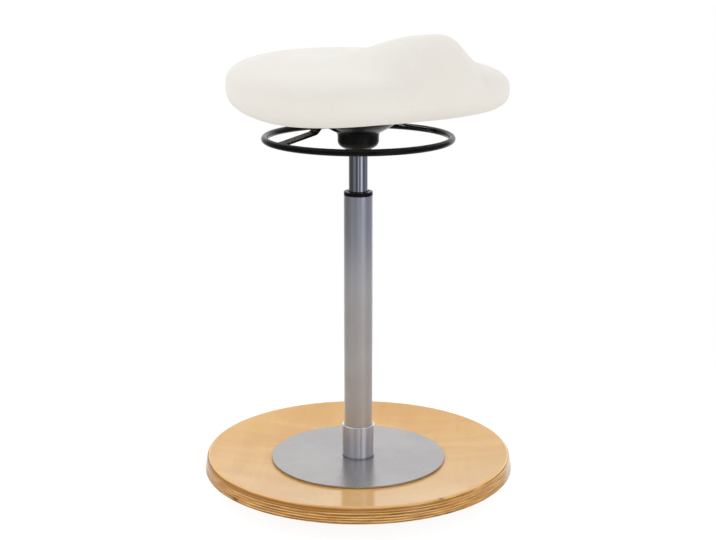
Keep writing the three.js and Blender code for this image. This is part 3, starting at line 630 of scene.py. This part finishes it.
# Thrust bearing. A floor plate pressed in the column's foot, two ground washers and a caged ball race. The
# gas lift's rod turns on it, and a rubber stop above it meets the pressure tube.
bearing_steel = metal_finish("bearing_steel", (206, 208, 212), (184, 187, 192), 1, 0.2, (1, 1, 14))
coated(zinc_steel, "column_floor")
coated(bearing_steel, "bearing_washer_lower", "bearing_race", "bearing_washer_upper")
damper_low = 64.6
damper_high = damper_low + 8
damper_radius = 13
damper_bulge = 0.6
damper_bore = 5.3
damper = turned("stop_ring", [
    (damper_bore, damper_low), (damper_radius, damper_low, 0.5),
    (damper_radius + damper_bulge, (damper_low + damper_high) / 2, 3), (damper_radius, damper_high, 0.5),
    (damper_bore, damper_high)], around=64)
damper.data.materials.append(soft_rubber)
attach(damper, "rod")
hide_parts("rod_damper")


# Guide bush. A black moulded liner pressed in the column's mouth, with a flange that covers the tube's rim.
# The chrome tube slides through it.
bush_low = 376.67
bush_flange = 5.5
bush_bore = 14.3
bush_top = column_top + bush_flange
bush_radius = column_bore - 0.3
bush_mouth = 1.6
bush_lead = 1.2


def plastic_finish(name, shade, worn, roughness, grain_depth):
    """Moulded plastic with a fine even texture."""
    finish, shader, place = new_finish(name)
    life = use(surface_life, {"Place": place, "Cloud Scale": 30, "Grain Scale": 1300})
    skin = tinted(spread(life["Cloud"], 0.35, 0.75, 0, 0.6), colour(*shade), colour(*worn))
    skin = tinted(maths("MULTIPLY", life["Dust"], 0.25), skin, colour(110, 108, 104))
    fit(shader, {
        "Base Color": skin,
        "Roughness": spread(life["Cloud"], 0.3, 0.7, roughness * 0.88, roughness * 1.14),
        "Specular IOR Level": 0.24,
        "Normal": relief(life["Grain"], 0.35, grain_depth)})
    return finish


black_plastic = plastic_finish("black_plastic", (9, 9, 10), (16, 15, 17), 0.3, 0.00008)
bush = turned("mouth_bush", [(bush_bore, bush_low), (bush_radius, bush_low, 0.8),
                             (bush_radius, column_top), (column_radius, column_top, 0.3),
                             (column_radius, bush_top, 1), (bush_bore + bush_mouth, bush_top, 0.4),
                             (bush_bore, bush_top - bush_lead)])
bush.data.materials.append(black_plastic)
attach(bush, "base")
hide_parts("guide_bush")


# Piston rod. A ground and chromed rod that hangs in the bearing by its clip, with the piston on its upper
# end. All of it stays inside the column.
chrome = metal_finish("chrome", (205, 207, 214), (198, 200, 208), 1, 0.06, (1, 1, 0.2), 0.000004)
coated(chrome, "piston_rod")
coated(black_plastic, "piston_head")
coated(zinc_steel, "retaining_clip")


# Pressure tube. The chromed cylinder of the gas lift, 28 mm across, with its upper end drawn to a taper
# that holds in the seat's socket by its own fit.
lift_radius = 14
lift_bore = 12.5
lift_low = 117.9
taper_start = 515.2
lift_top = 547.67
taper_radius = 12.88
head_bore = 11.38
pressure = turned("chrome_tube", [(lift_bore, lift_low), (lift_radius, lift_low, 1),
                                  (lift_radius, taper_start), (taper_radius, lift_top, 0.5),
                                  (head_bore, lift_top), (head_bore, taper_start), (lift_bore, taper_start)],
                  around=128)
pressure.data.materials.append(chrome)
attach(pressure, "seat")
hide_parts("pressure_tube")
coated(black_plastic, "rod_guide")


# Valve. A steel block in the tapered head with the red release button on top. Pressing the button lets
# the seat rise or sink.
red_plastic = plastic_finish("red_plastic", (138, 32, 27), (156, 50, 42), 0.45, 0.00005)
coated(zinc_steel, "valve_block")
coated(red_plastic, "valve_button")


# Taper socket and trim cup. The socket is a turned steel boss that grips the taper. The cup is a black
# moulding with a stepped lip that hides it and closes onto the chrome tube.
cup_low = 509.17
cup_top = cup_low + 26.5
cup_inside = cup_low + 10.5
cup_shoulder = cup_low + 11.8
cup_radius = 30
cup_round = 5.5
cup_bore = lift_radius + 0.3
neck_radius = 16.6
neck_top = cup_low + 3
cup_lip_radius = 18.6
cup_lip_top = neck_top + 3.2
cup_lip_step = 2.2
socket_bore = 22.8


def painted_steel(name, shade, rubbed, roughness, orange_peel):
    """Black stoved paint on steel, with a faint orange peel and patches and hairlines rubbed a little lighter."""
    finish, shader, place = new_finish(name)
    life = use(surface_life, {"Place": place, "Cloud Scale": 18, "Grain Scale": 420, "Hairline Scale": 26})
    skin = tinted(spread(life["Cloud"], 0.4, 0.75, 0, 0.5), colour(*shade), colour(*rubbed))
    skin = tinted(maths("MULTIPLY", life["Hairlines"], 0.3), skin, colour(*rubbed))
    fit(shader, {
        "Base Color": tinted(maths("MULTIPLY", life["Dust"], 0.15), skin, colour(120, 118, 114)),
        "Roughness": spread(life["Cloud"], 0.3, 0.7, roughness * 0.85, roughness * 1.15),
        "Specular IOR Level": 0.2,
        "Normal": relief(life["Grain"], 0.3, orange_peel)})
    return finish


black_steel = painted_steel("black_steel", (8, 8, 8), (15, 15, 16), 0.26, 0.00012)
coated(black_steel, "taper_socket")
cup = turned("socket_cup", [
    (cup_bore, cup_low), (neck_radius, cup_low, 0.5), (neck_radius, neck_top), (cup_lip_radius, neck_top, 0.6),
    (cup_lip_radius, cup_lip_top, 0.6), (cup_lip_radius + cup_lip_step, cup_lip_top + 0.3),
    (cup_radius, cup_shoulder, cup_round), (cup_radius, cup_top, 0.6), (socket_bore, cup_top),
    (socket_bore, cup_inside), (cup_bore, cup_inside)])
cup.data.materials.append(black_plastic)
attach(cup, "seat")
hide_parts("trim_cup")


# Carrier dish. A bowl pressed from 2.5 mm sheet, welded to the socket, with a rolled bead at its foot, a
# flat flange for four screws and a window on each side for the lever. It is painted black.
carrier_low = cup_top + 0.3
carrier_wall = 2.5
bead_radius = 31
carrier_shoulder = 72
flange_radius = 86
flange_low = 571.67
flange_high = 574.67
seat_screw_circle = 79
seat_screw_hole = 3.3
window_inner = 37
window_outer = carrier_shoulder + 0.3
window_width = 27
window_corner = 2
low_bend = (39.61, 542.79)
high_bend = (52.32, 550.14)
carrier = turned("pressed_dish", [
    (socket_bore, carrier_low), (bead_radius, carrier_low, 1.2), (bead_radius, carrier_low + carrier_wall, 0.6),
    (*low_bend, 4), (*high_bend, 6), (carrier_shoulder, flange_low, 1), (flange_radius, flange_low, 0.6),
    (flange_radius, flange_high, 0.6), (carrier_shoulder, flange_high, 1),
    (high_bend[0] - carrier_wall, high_bend[1] + carrier_wall, 6),
    (low_bend[0] - carrier_wall, low_bend[1] + carrier_wall, 4),
    (socket_bore, carrier_low + 2 * carrier_wall)], around=160)
windows = bmesh.new()
for side in (-1, 1):
    reach = window_outer - window_inner
    spot = at(side * (window_inner + reach / 2), 0, (carrier_low + flange_low) / 2)
    size = Matrix.Diagonal((reach * MM, window_width * MM, (flange_low - carrier_low) * MM, 1))
    bmesh.ops.create_cube(windows, size=1, matrix=spot @ size)
upright = [edge for edge in windows.edges if abs(edge.verts[0].co.z - edge.verts[1].co.z) > 0.01]
rounded(windows, upright, window_corner, 4)
cut_from(carrier, windows)
seat_screw_places = round_places(screw_count, seat_screw_circle)
cut_from(carrier, drills(seat_screw_places, seat_screw_hole, flange_low - 2, flange_high + 2))
carrier.data.materials.append(black_steel)
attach(carrier, "seat")
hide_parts("carrier_dish")


# Carrier plate and pivot boss. A flat steel plate closes the pressed dish, and the boss under its middle is
# what the lever's hub tips against.
plate_low = 574.67
plate_high = 578.67
plate = turned("top_plate", [(0, plate_low), (flange_radius, plate_low, 0.5), (flange_radius, plate_high, 0.5),
                             (0, plate_high)])
plate.data.materials.append(black_steel)
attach(plate, "seat")
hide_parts("carrier_plate")
coated(black_steel, "pivot_boss")


# Ring lever. A 10 mm steel rod bent to a ring and welded to a cranked flat strap, which passes through the
# windows of the pressed dish. Its round hub sits between the valve's button and the boss.
ring_radius = 135.4
ring_rod = 4.9
ring_level = 530.17
strap_width = 20
strap_thickness = 3
strap_low = 552.67
strap_bend = 66
strap_foot = 76
strap_drop = 10.5
strap_inside_bend = 2.4
strap_edge = 0.6
strap_end = ring_radius - ring_rod - 0.3
strap_end_level = ring_level + 1.6
weld_inset = 0.4
weld_rise = 1.6
weld_size = (2, 9.4, 1.7)
weld_ripple = 0.15
weld_waves = 3.1

ring_shape = bmesh.new()
bmesh.ops.create_circle(ring_shape, segments=28, radius=ring_rod * MM,
                        matrix=at(ring_radius, 0, ring_level) @ Matrix.Rotation(math.pi / 2, 4, "X"))
spun(ring_shape, 240)
ring = into_scene(ring_shape, "ring_rod")

strap_shape = bmesh.new()
half_line = [(0, strap_low), (strap_bend, strap_low), (strap_foot, strap_low - strap_drop),
             (strap_end, strap_end_level - strap_thickness / 2)]
line = [(-across, level) for across, level in half_line[:0:-1]] + half_line[1:]
points = [strap_shape.verts.new((across * MM, -strap_width / 2 * MM, level * MM)) for across, level in line]
for first, second in zip(points, points[1:]):
    strap_shape.edges.new((first, second))
for bend in points[1:-1]:
    rounded(strap_shape, [bend], strap_inside_bend, 5, "VERTICES")
swept = bmesh.ops.extrude_edge_only(strap_shape, edges=strap_shape.edges[:])["geom"]
bmesh.ops.translate(strap_shape, verts=[item for item in swept if isinstance(item, bmesh.types.BMVert)],
                    vec=(0, strap_width * MM, 0))
bmesh.ops.recalc_face_normals(strap_shape, faces=strap_shape.faces[:])
if sum(face.normal.z for face in strap_shape.faces) > 0:
    bmesh.ops.reverse_faces(strap_shape, faces=strap_shape.faces[:])
bmesh.ops.solidify(strap_shape, geom=strap_shape.faces[:], thickness=strap_thickness * MM)
bmesh.ops.recalc_face_normals(strap_shape, faces=strap_shape.faces[:])
rounded(strap_shape, [edge for edge in strap_shape.edges if edge.calc_face_angle(0) > 0.9], strap_edge, 3)
strap = even_shading(into_scene(strap_shape, "lever_bar"))

welds_shape = bmesh.new()
for side in (-1, 1):
    for level in (strap_end_level + weld_rise, strap_end_level - weld_rise):
        spot = at(side * (strap_end - weld_inset), 0, level)
        bmesh.ops.create_uvsphere(welds_shape, u_segments=24, v_segments=16, radius=MM,
                                  matrix=spot @ Matrix.Diagonal((*weld_size, 1)))
for vertex in welds_shape.verts:
    vertex.co.x += math.copysign(weld_ripple * MM, vertex.co.x) * math.sin(vertex.co.y / MM * weld_waves)
welds = into_scene(welds_shape, "strap_welds", 60)
for piece, replaced in ((ring, "lever_ring"), (strap, "lever_strap"), (welds, None)):
    piece.data.materials.append(black_steel)
    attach(piece, "lever")
    if replaced:
        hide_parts(replaced)
coated(black_steel, "lever_hub")


# Seat board. Twelve millimetres of beech plywood cut to the cushion's outline, with four tee nuts pressed
# in from above. Four socket-head screws hold the pressed dish and the plate under it.
seat_screw_tip = 590.6
seat_screw_head_radius = 5.5
seat_screw_head_height = 4
seat_screw_shank = 3
seat_hex_key = 4
coated(plain_wood("seat_board_wood", (196, 160, 114), (170, 130, 84), 1.1, 0.75), "seat_board")
for number, spot in enumerate(seat_screw_places, 1):
    screw = socket_screw(f"seat_socket_screw_{number}", spot, flange_low - seat_screw_head_height, flange_low,
                         seat_screw_tip, seat_screw_head_radius, seat_screw_shank, seat_hex_key)
    screw.data.materials.append(zinc_steel)
    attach(screw, "seat")
    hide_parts(f"seat_screw_{number}")
    coated(zinc_steel, f"tee_nut_{number}")


# Cushion. Moulded foam, glued on the board, under one piece of off-white stretch knit that is drawn over it
# without a seam. The foam rises to a lip at the rear, and the knit's hem is folded under and stapled.
seat_low = 557.97
seat_mean = 199.6
rim_height = 49
crown_height = 88.5
cheek_height = 48.5
lip_height = 59.2
lip_width = 0.355
lip_squareness = 2.7
lip_line = 0.956
lip_curve = 2.5
lip_depth = 0.376
crease_depth = 22
crease_across = 59
crease_along = 209
crease_width = 11
crease_length = 22
side_squareness = 2.82
side_change = 0.19
belly_squareness = 2.9
# Beside the lip the side is softer: by how much, and where and how widely, in radians from the rear.
lip_softness = 0.41
lip_bearing = 0.943
lip_reach = 0.289
# Waves round the seat from its rear, and the hem's folds as (share of the outline, height).
outline_waves = (1, 0.09, 0.053, 0.006, -0.027)
rim_waves = (1, -0.006, 0.098)
cheek_waves = (1, -0.006, -0.025, -0.002)
belly_waves = (1, -0.047, -0.072)
hem_share = 0.6
hem_fold = ((0.588, 569), (0.574, 577.2), (0.55, 578.1), (0.505, 578.2))
hem_gather = 0.45
hem_gathers = 56
gather_drift = 1.3
gather_drifts = 5
hem_lift = 0.35
knit_over = 200
knit_side = 95
knit_under = 60
knit_hem = 430
knit_fold = 9
cover_cuts = 47
flatten = 0.4
# How far the knit may leave the foam or sink into it in the simulation.
swell_room = 0.4
swell_most = 0.9
foam_give = 0.1
padding_frames = 20
stitch = 0.0011
knit_white = (242, 241, 237)
knit_shade = (239, 236, 231)
knit_slub = (228, 224, 216)
knit_gap = (176, 168, 158)


def from_rear(turn):
    """The bearing from the seat's rear of a turn round the axis."""
    return math.atan2(math.cos(turn), -math.sin(turn))


def waves(heights, bearing):
    """A shape round the seat, as a few even waves from the rear."""
    return sum(height * math.cos(count * bearing) for count, height in enumerate(heights))


def outline(turn):
    """The seat's radius at a turn round the axis, in millimetres."""
    return seat_mean * waves(outline_waves, from_rear(turn))


def squareness(bearing, above):
    """How square the cushion's side is: 2 is an ellipse, and more is squarer."""
    if not above:
        return belly_squareness
    beside_lip = lip_softness * math.exp(-((abs(bearing) - lip_bearing) / lip_reach) ** 2)
    return side_squareness - side_change * math.cos(2 * bearing) - beside_lip


def rear_lip(across, along):
    """Height that the rear lip adds to the sitting face, in millimetres. The lip follows the rear edge round,
    with a narrow crease at each end."""
    wide = abs(across / (lip_width * seat_mean)) ** lip_squareness
    ridge = -lip_line * seat_mean + lip_curve * across ** 2 / seat_mean
    deep = ((along - ridge) / (lip_depth * seat_mean)) ** 2
    beside = (abs(across) - crease_across) / crease_width
    behind = (along + crease_along) / crease_length
    return lip_height * math.exp(-wide - deep) - crease_depth * math.exp(-beside ** 2 - behind ** 2)


def cushion_point(turn, slope):
    """A point of the cushion's skin, in millimetres, and its distance along the knit from the middle of the top.
    The turn is round the axis, and the slope goes from -90 degrees below to 90 above."""
    bearing = from_rear(turn)
    power = squareness(bearing, slope >= 0)
    level, upright = abs(math.cos(slope)), abs(math.sin(slope))
    size = (level ** power + upright ** power) ** (-1 / power)
    reach, climb = size * level, size * upright
    radius = outline(turn) * reach
    across, along = radius * math.cos(turn), radius * math.sin(turn)
    ease = reach ** 2 * (3 - 2 * reach)
    rim = rim_height * waves(rim_waves, bearing)
    cheek = rim + cheek_height * waves(cheek_waves, bearing)
    top = crown_height * (1 - ease) + cheek * ease + rear_lip(across, along)
    belly = (rim - rim_height * waves(belly_waves, bearing)) * ease
    if slope >= 0:
        height = rim + (top - rim) * climb
        knit_reach = knit_over * reach + knit_side * (1 - climb)
    else:
        height = rim - (rim - belly) * climb
        knit_reach = knit_over + knit_side + knit_under * climb + knit_over * (1 - reach)
    return Vector((across, along, seat_low + height)), knit_reach


def outwards(shape):
    """Turns the faces of an open shape outwards, as its highest point shows."""
    bmesh.ops.recalc_face_normals(shape, faces=shape.faces[:])
    if max(shape.verts, key=lambda vertex: vertex.co.z).normal.z < 0:
        bmesh.ops.reverse_faces(shape, faces=shape.faces[:])


# A cube of small squares is rounded to a ball and cut open at the hem, and its points go to the cushion's skin.
cover_shape = bmesh.new()
bmesh.ops.create_cube(cover_shape, size=2)
bmesh.ops.subdivide_edges(cover_shape, edges=cover_shape.edges[:], cuts=cover_cuts, use_grid_fill=True)
for vertex in cover_shape.verts:
    vertex.co = Vector([math.tan(part * math.pi / 4) for part in vertex.co]).normalized()
hem_slope = math.atan2((1 - hem_share ** belly_squareness) ** (1 / belly_squareness), hem_share)
hem_level = -math.sin(math.atan2(math.tan(hem_slope), flatten))
bmesh.ops.bisect_plane(cover_shape, geom=cover_shape.verts[:] + cover_shape.edges[:] + cover_shape.faces[:],
                       plane_co=(0, 0, hem_level), plane_no=(0, 0, -1), clear_outer=True)
bmesh.ops.remove_doubles(cover_shape, verts=cover_shape.verts[:], dist=0.004)
knit_radius = {}
for vertex in cover_shape.verts:
    turn = math.atan2(vertex.co.y, vertex.co.x)
    slope = math.atan2(vertex.co.z * flatten, math.hypot(vertex.co.x, vertex.co.y))
    place, knit = cushion_point(turn, slope)
    vertex.co = place * MM
    knit_radius[vertex] = (turn, knit * MM)
outwards(cover_shape)
cover_shape.normal_update()
for vertex in cover_shape.verts:
    if not vertex.is_boundary:
        vertex.co -= vertex.normal * swell_room * MM
hem_edge = [edge for edge in cover_shape.edges if edge.is_boundary]
held = []
for step, (share, level) in enumerate(hem_fold):
    folded = bmesh.ops.extrude_edge_only(cover_shape, edges=hem_edge)["geom"]
    hem_edge = [item for item in folded if isinstance(item, bmesh.types.BMEdge)]
    for vertex in (item for item in folded if isinstance(item, bmesh.types.BMVert)):
        turn = math.atan2(vertex.co.y, vertex.co.x)
        drift = gather_drift * math.sin(gather_drifts * turn)
        gather = hem_gather * math.sin(hem_gathers * turn + drift) * min(step + 1, 3) / 3
        radius = outline(turn) * share + gather
        vertex.co = Vector((radius * math.cos(turn), radius * math.sin(turn), level - hem_lift - gather)) * MM
        knit_radius[vertex] = (turn, (knit_hem + knit_fold * step) * MM)
        held.append(vertex)
outwards(cover_shape)
cover_shape.verts.index_update()
held_places = [vertex.index for vertex in held]
knit_map = cover_shape.loops.layers.uv.new("knit")
for face in cover_shape.faces:
    for corner in face.loops:
        turn, radius = knit_radius[corner.vert]
        corner[knit_map].uv = (radius * math.cos(turn), radius * math.sin(turn))
cover = into_scene(cover_shape, "knit_cover", 180)

# The knit is held along its folded hem and blown lightly, so that it settles over the foam as cloth does.
held_group = cover.vertex_groups.new(name="held")
held_group.add(held_places, 1, "REPLACE")
before = [vertex.co.copy() for vertex in cover.data.vertices]
outward = [vertex.normal.copy() for vertex in cover.data.vertices]
padding = cover.modifiers.new("padding", "CLOTH")
for setting, value in (
        ("quality", 6), ("mass", 0.25), ("tension_stiffness", 12), ("compression_stiffness", 8),
        ("shear_stiffness", 4), ("bending_stiffness", 0.6), ("shrink_min", -0.012), ("use_pressure", True),
        ("uniform_pressure_force", 4), ("vertex_group_mass", "held")):
    setattr(padding.settings, setting, value)
padding.settings.effector_weights.gravity = 0
padding.collision_settings.use_collision = False
padding.collision_settings.use_self_collision = False
padding.point_cache.frame_start = 1
padding.point_cache.frame_end = padding_frames
for frame_number in range(1, padding_frames + 1):
    scene.frame_set(frame_number)
swollen = cover.evaluated_get(bpy.context.evaluated_depsgraph_get()).to_mesh()
after = [vertex.co.copy() for vertex in swollen.vertices]
cover.modifiers.remove(padding)
scene.frame_set(1)
for vertex, old, new, out in zip(cover.data.vertices, before, after, outward):
    moved = new - old
    moved -= out * min(moved.dot(out) + foam_give * MM, 0)
    if moved.length > swell_most * MM:
        moved *= swell_most * MM / moved.length
    vertex.co = old + moved
smoothing = cover.modifiers.new("smoothing", "SUBSURF")
smoothing.levels = 1
smoothing.render_levels = 1

knit_weave, given, end = shared_effect(
    "knit_weave",
    [("Place", "Vector", None), ("Stitch", "Float", stitch)],
    [("Height", "Float"), ("Thread", "Float"), ("Slub", "Float")])
across, along, _ = axes(given["Place"])
rows = maths("DIVIDE", across, given["Stitch"])
courses = maths("DIVIDE", along, maths("MULTIPLY", given["Stitch"], 0.8))
wale = maths("ABSOLUTE", maths("SINE", maths("MULTIPLY", rows, math.pi)))
slant = maths("ADD", courses, maths("MULTIPLY", wale, 0.9))
loop = maths("SINE", maths("MULTIPLY", slant, 2 * math.pi))
height = maths("MULTIPLY", wale, spread(loop, -1, 1, 0.45, 1))
fit(end, {"Height": height, "Thread": spread(height, 0.15, 0.7),
          "Slub": clouds(stretched(given["Place"], (160, 420, 160)), 1, 3, 0.6)})

seat_fabric, shader, place = new_finish("seat_fabric")
knit_place = put(seat_fabric.node_tree, "ShaderNodeUVMap", uv_map="knit").outputs[0]
weave = use(knit_weave, {"Place": knit_place, "Stitch": stitch})
life = use(surface_life, {"Place": place, "Cloud Scale": 7, "Grain Scale": 350})
knit = tinted(spread(life["Cloud"], 0.3, 0.7), colour(*knit_white), colour(*knit_shade))
knit = tinted(spread(weave["Slub"], 0.35, 0.7, 0, 0.2), knit, colour(*knit_slub))
knit = tinted(spread(weave["Thread"], 0, 1, 0.16, 0), knit, colour(*knit_gap))
fit(shader, {
    "Base Color": knit,
    "Roughness": spread(life["Grain"], 0.3, 0.7, 0.86, 0.98),
    "Specular IOR Level": 0.2,
    "Sheen Weight": 0.25,
    "Sheen Roughness": 0.5,
    "Normal": relief(weave["Height"], 0.35, 0.0004)})
cover.data.materials.append(seat_fabric)
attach(cover, "seat")
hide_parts("seat_cover", "seat_foam")


# Hem staples. Fine-wire staples, 10 mm wide, that hold the folded hem of the knit to the board.
staple_count = 36
staple_width = 10
staple_wire = 0.6
staple_share = 0.53
staple_level = 577.2
staple_edge = 0.2
# How far a staple strays from its even place round the seat, and how far it is turned, in radians.
staple_stray = 0.03
staple_skew = 0.2
staples_shape = bmesh.new()
for number in range(staple_count):
    turn = (number + 0.5) / staple_count * 2 * math.pi + staple_stray * math.sin(7 * number)
    radius = outline(turn) * staple_share
    spot = at(radius * math.cos(turn), radius * math.sin(turn), staple_level)
    tilt = Matrix.Rotation(turn + math.pi / 2 + staple_skew * math.sin(3 * number), 4, "Z")
    size = Matrix.Diagonal((staple_width * MM, staple_wire * 2 * MM, staple_wire * MM, 1))
    bmesh.ops.create_cube(staples_shape, size=1, matrix=spot @ tilt @ size)
rounded(staples_shape, staples_shape.edges[:], staple_edge, 2)
staples = into_scene(staples_shape, "hem_staples")
staples.data.materials.append(zinc_steel)
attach(staples, "seat")


# Studio. A plain pale floor under soft light from above and a white surround, with the camera where the
# photograph was taken from.
floor_radius = 0.7
floor_glow = 1.15
floor_lift = 0.8
floor_clear = 0.55
lamp_place = Vector((-0.1, 1.3, 2.15))
lamp_target = Vector((0, 0, 0.6))
lamp_side = 1.2
lamp_power = 6
camera_turn = math.radians(-34.1)
camera_dip = math.radians(13.73)
camera_place = (-1.1908, -1.7588, 0.8526)
photo_width = 716
focal_pixels = 1480.4
shift_pixels = -0.3
# What gloss mirrors round about, as (degrees, brightness): 0 lies beyond the object, 90 on the camera's left.
wall_stops = ((18, 1), (32, 0.42), (60, 0.13), (84, 0.08), (112, 0.09), (128, 0.24), (144, 0.20), (154, 0.09),
              (170, 0.10), (180, 0.42), (188, 0.42), (196, 0.08), (204, 0.12), (214, 0.75), (228, 0.62),
              (240, 0.12), (258, 0.14), (272, 0.18), (286, 0.32), (298, 0.14), (312, 0.2), (324, 1))
warm_wall = -0.04
cool_wall = 0.13
cool_from = 120

floor_shape = bmesh.new()
bmesh.ops.create_circle(floor_shape, cap_ends=True, segments=96, radius=floor_radius)
floor = into_scene(floor_shape, "studio_floor")
floor_white, shader, place = new_finish("floor_white")
fit(shader, {"Base Color": colour(240, 240, 240), "Roughness": 0.9, "Specular IOR Level": 0.1})
tree = floor_white.node_tree
path = put(tree, "ShaderNodeLightPath").outputs
glow = put(tree, "ShaderNodeEmission", {"Color": (1, 1, 1, 1), "Strength": floor_glow}).outputs[0]
see_through = put(tree, "ShaderNodeBsdfTransparent").outputs[0]
lifted = worked("ShaderNodeMixShader", {0: maths("MULTIPLY", path["Is Camera Ray"], floor_lift),
                                        1: shader.outputs[0], 2: glow})[0]
shown = worked("ShaderNodeMixShader", {0: maths("MULTIPLY", path["Is Glossy Ray"], floor_clear), 1: lifted,
                                       2: see_through})[0]
fit(next(node for node in tree.nodes if node.type == "OUTPUT_MATERIAL"), {"Surface": shown})
floor.data.materials.append(floor_white)

world = bpy.data.worlds.new("white_studio")
scene.world = world
world.use_nodes = True
tree = world.node_tree
tree.nodes.clear()
path = put(tree, "ShaderNodeLightPath").outputs
away = put(tree, "ShaderNodeTexCoord").outputs["Generated"]
across, along, up = axes(stretched(away, (1, 1, 1), (0, 0, -camera_turn)))
round_about = maths("ARCTAN2", across, maths("MULTIPLY", along, -1))
walls = worked("ShaderNodeValToRGB", {0: maths("ADD", maths("DIVIDE", round_about, 2 * math.pi), 0.5)})[0]
wall_ramp = walls.node.color_ramp
wall_ramp.interpolation = "EASE"
wall_ramp.elements[0].color = wall_ramp.elements[1].color = (1, 1, 1, 1)
for turn, level in wall_stops:
    bluish = cool_wall if turn > cool_from else warm_wall
    wall_ramp.elements.new(turn / 360).color = (level, level * (1 + bluish / 6), level * (1 + bluish), 1)
room = tinted(spread(up, 0.4, 0.95), walls, (0.95, 0.95, 0.95, 1))
seen = tinted(path["Is Camera Ray"], room, (1, 1, 1, 1))
soft = tinted(spread(along, -1, 1), (0.92, 0.90, 0.87, 1), (1.10, 1.10, 1.11, 1))
soft = tinted(spread(up, -0.45, 0, 1, 0), soft, (1.16, 1.14, 1.10, 1))
light = tinted(maths("MAXIMUM", path["Is Camera Ray"], path["Is Glossy Ray"]), soft, seen)
surround = worked("ShaderNodeBackground", {"Color": light, "Strength": 1})
put(tree, "ShaderNodeOutputWorld", {"Surface": surround[0]})

lamp = bpy.data.lights.new("overhead_box", "AREA")
lamp.shape = "RECTANGLE"
lamp.size = lamp.size_y = lamp_side
lamp.energy = lamp_power
lamp.color = (0.95, 0.98, 1)
stand = bpy.data.objects.new("overhead_box", lamp)
stand.location = lamp_place
stand.rotation_euler = (lamp_target - lamp_place).to_track_quat("-Z", "Y").to_euler()
stand.visible_camera = False
scene.collection.objects.link(stand)

lens = bpy.data.cameras.new("camera")
lens.sensor_fit = "HORIZONTAL"
lens.sensor_width = 36
lens.lens = lens.sensor_width * focal_pixels / photo_width
lens.shift_x = shift_pixels / photo_width
lens.clip_end = 100
camera = bpy.data.objects.new("camera", lens)
camera.location = camera_place
camera.rotation_euler = (math.pi / 2 - camera_dip, 0, camera_turn)
scene.collection.objects.link(camera)
scene.camera = camera
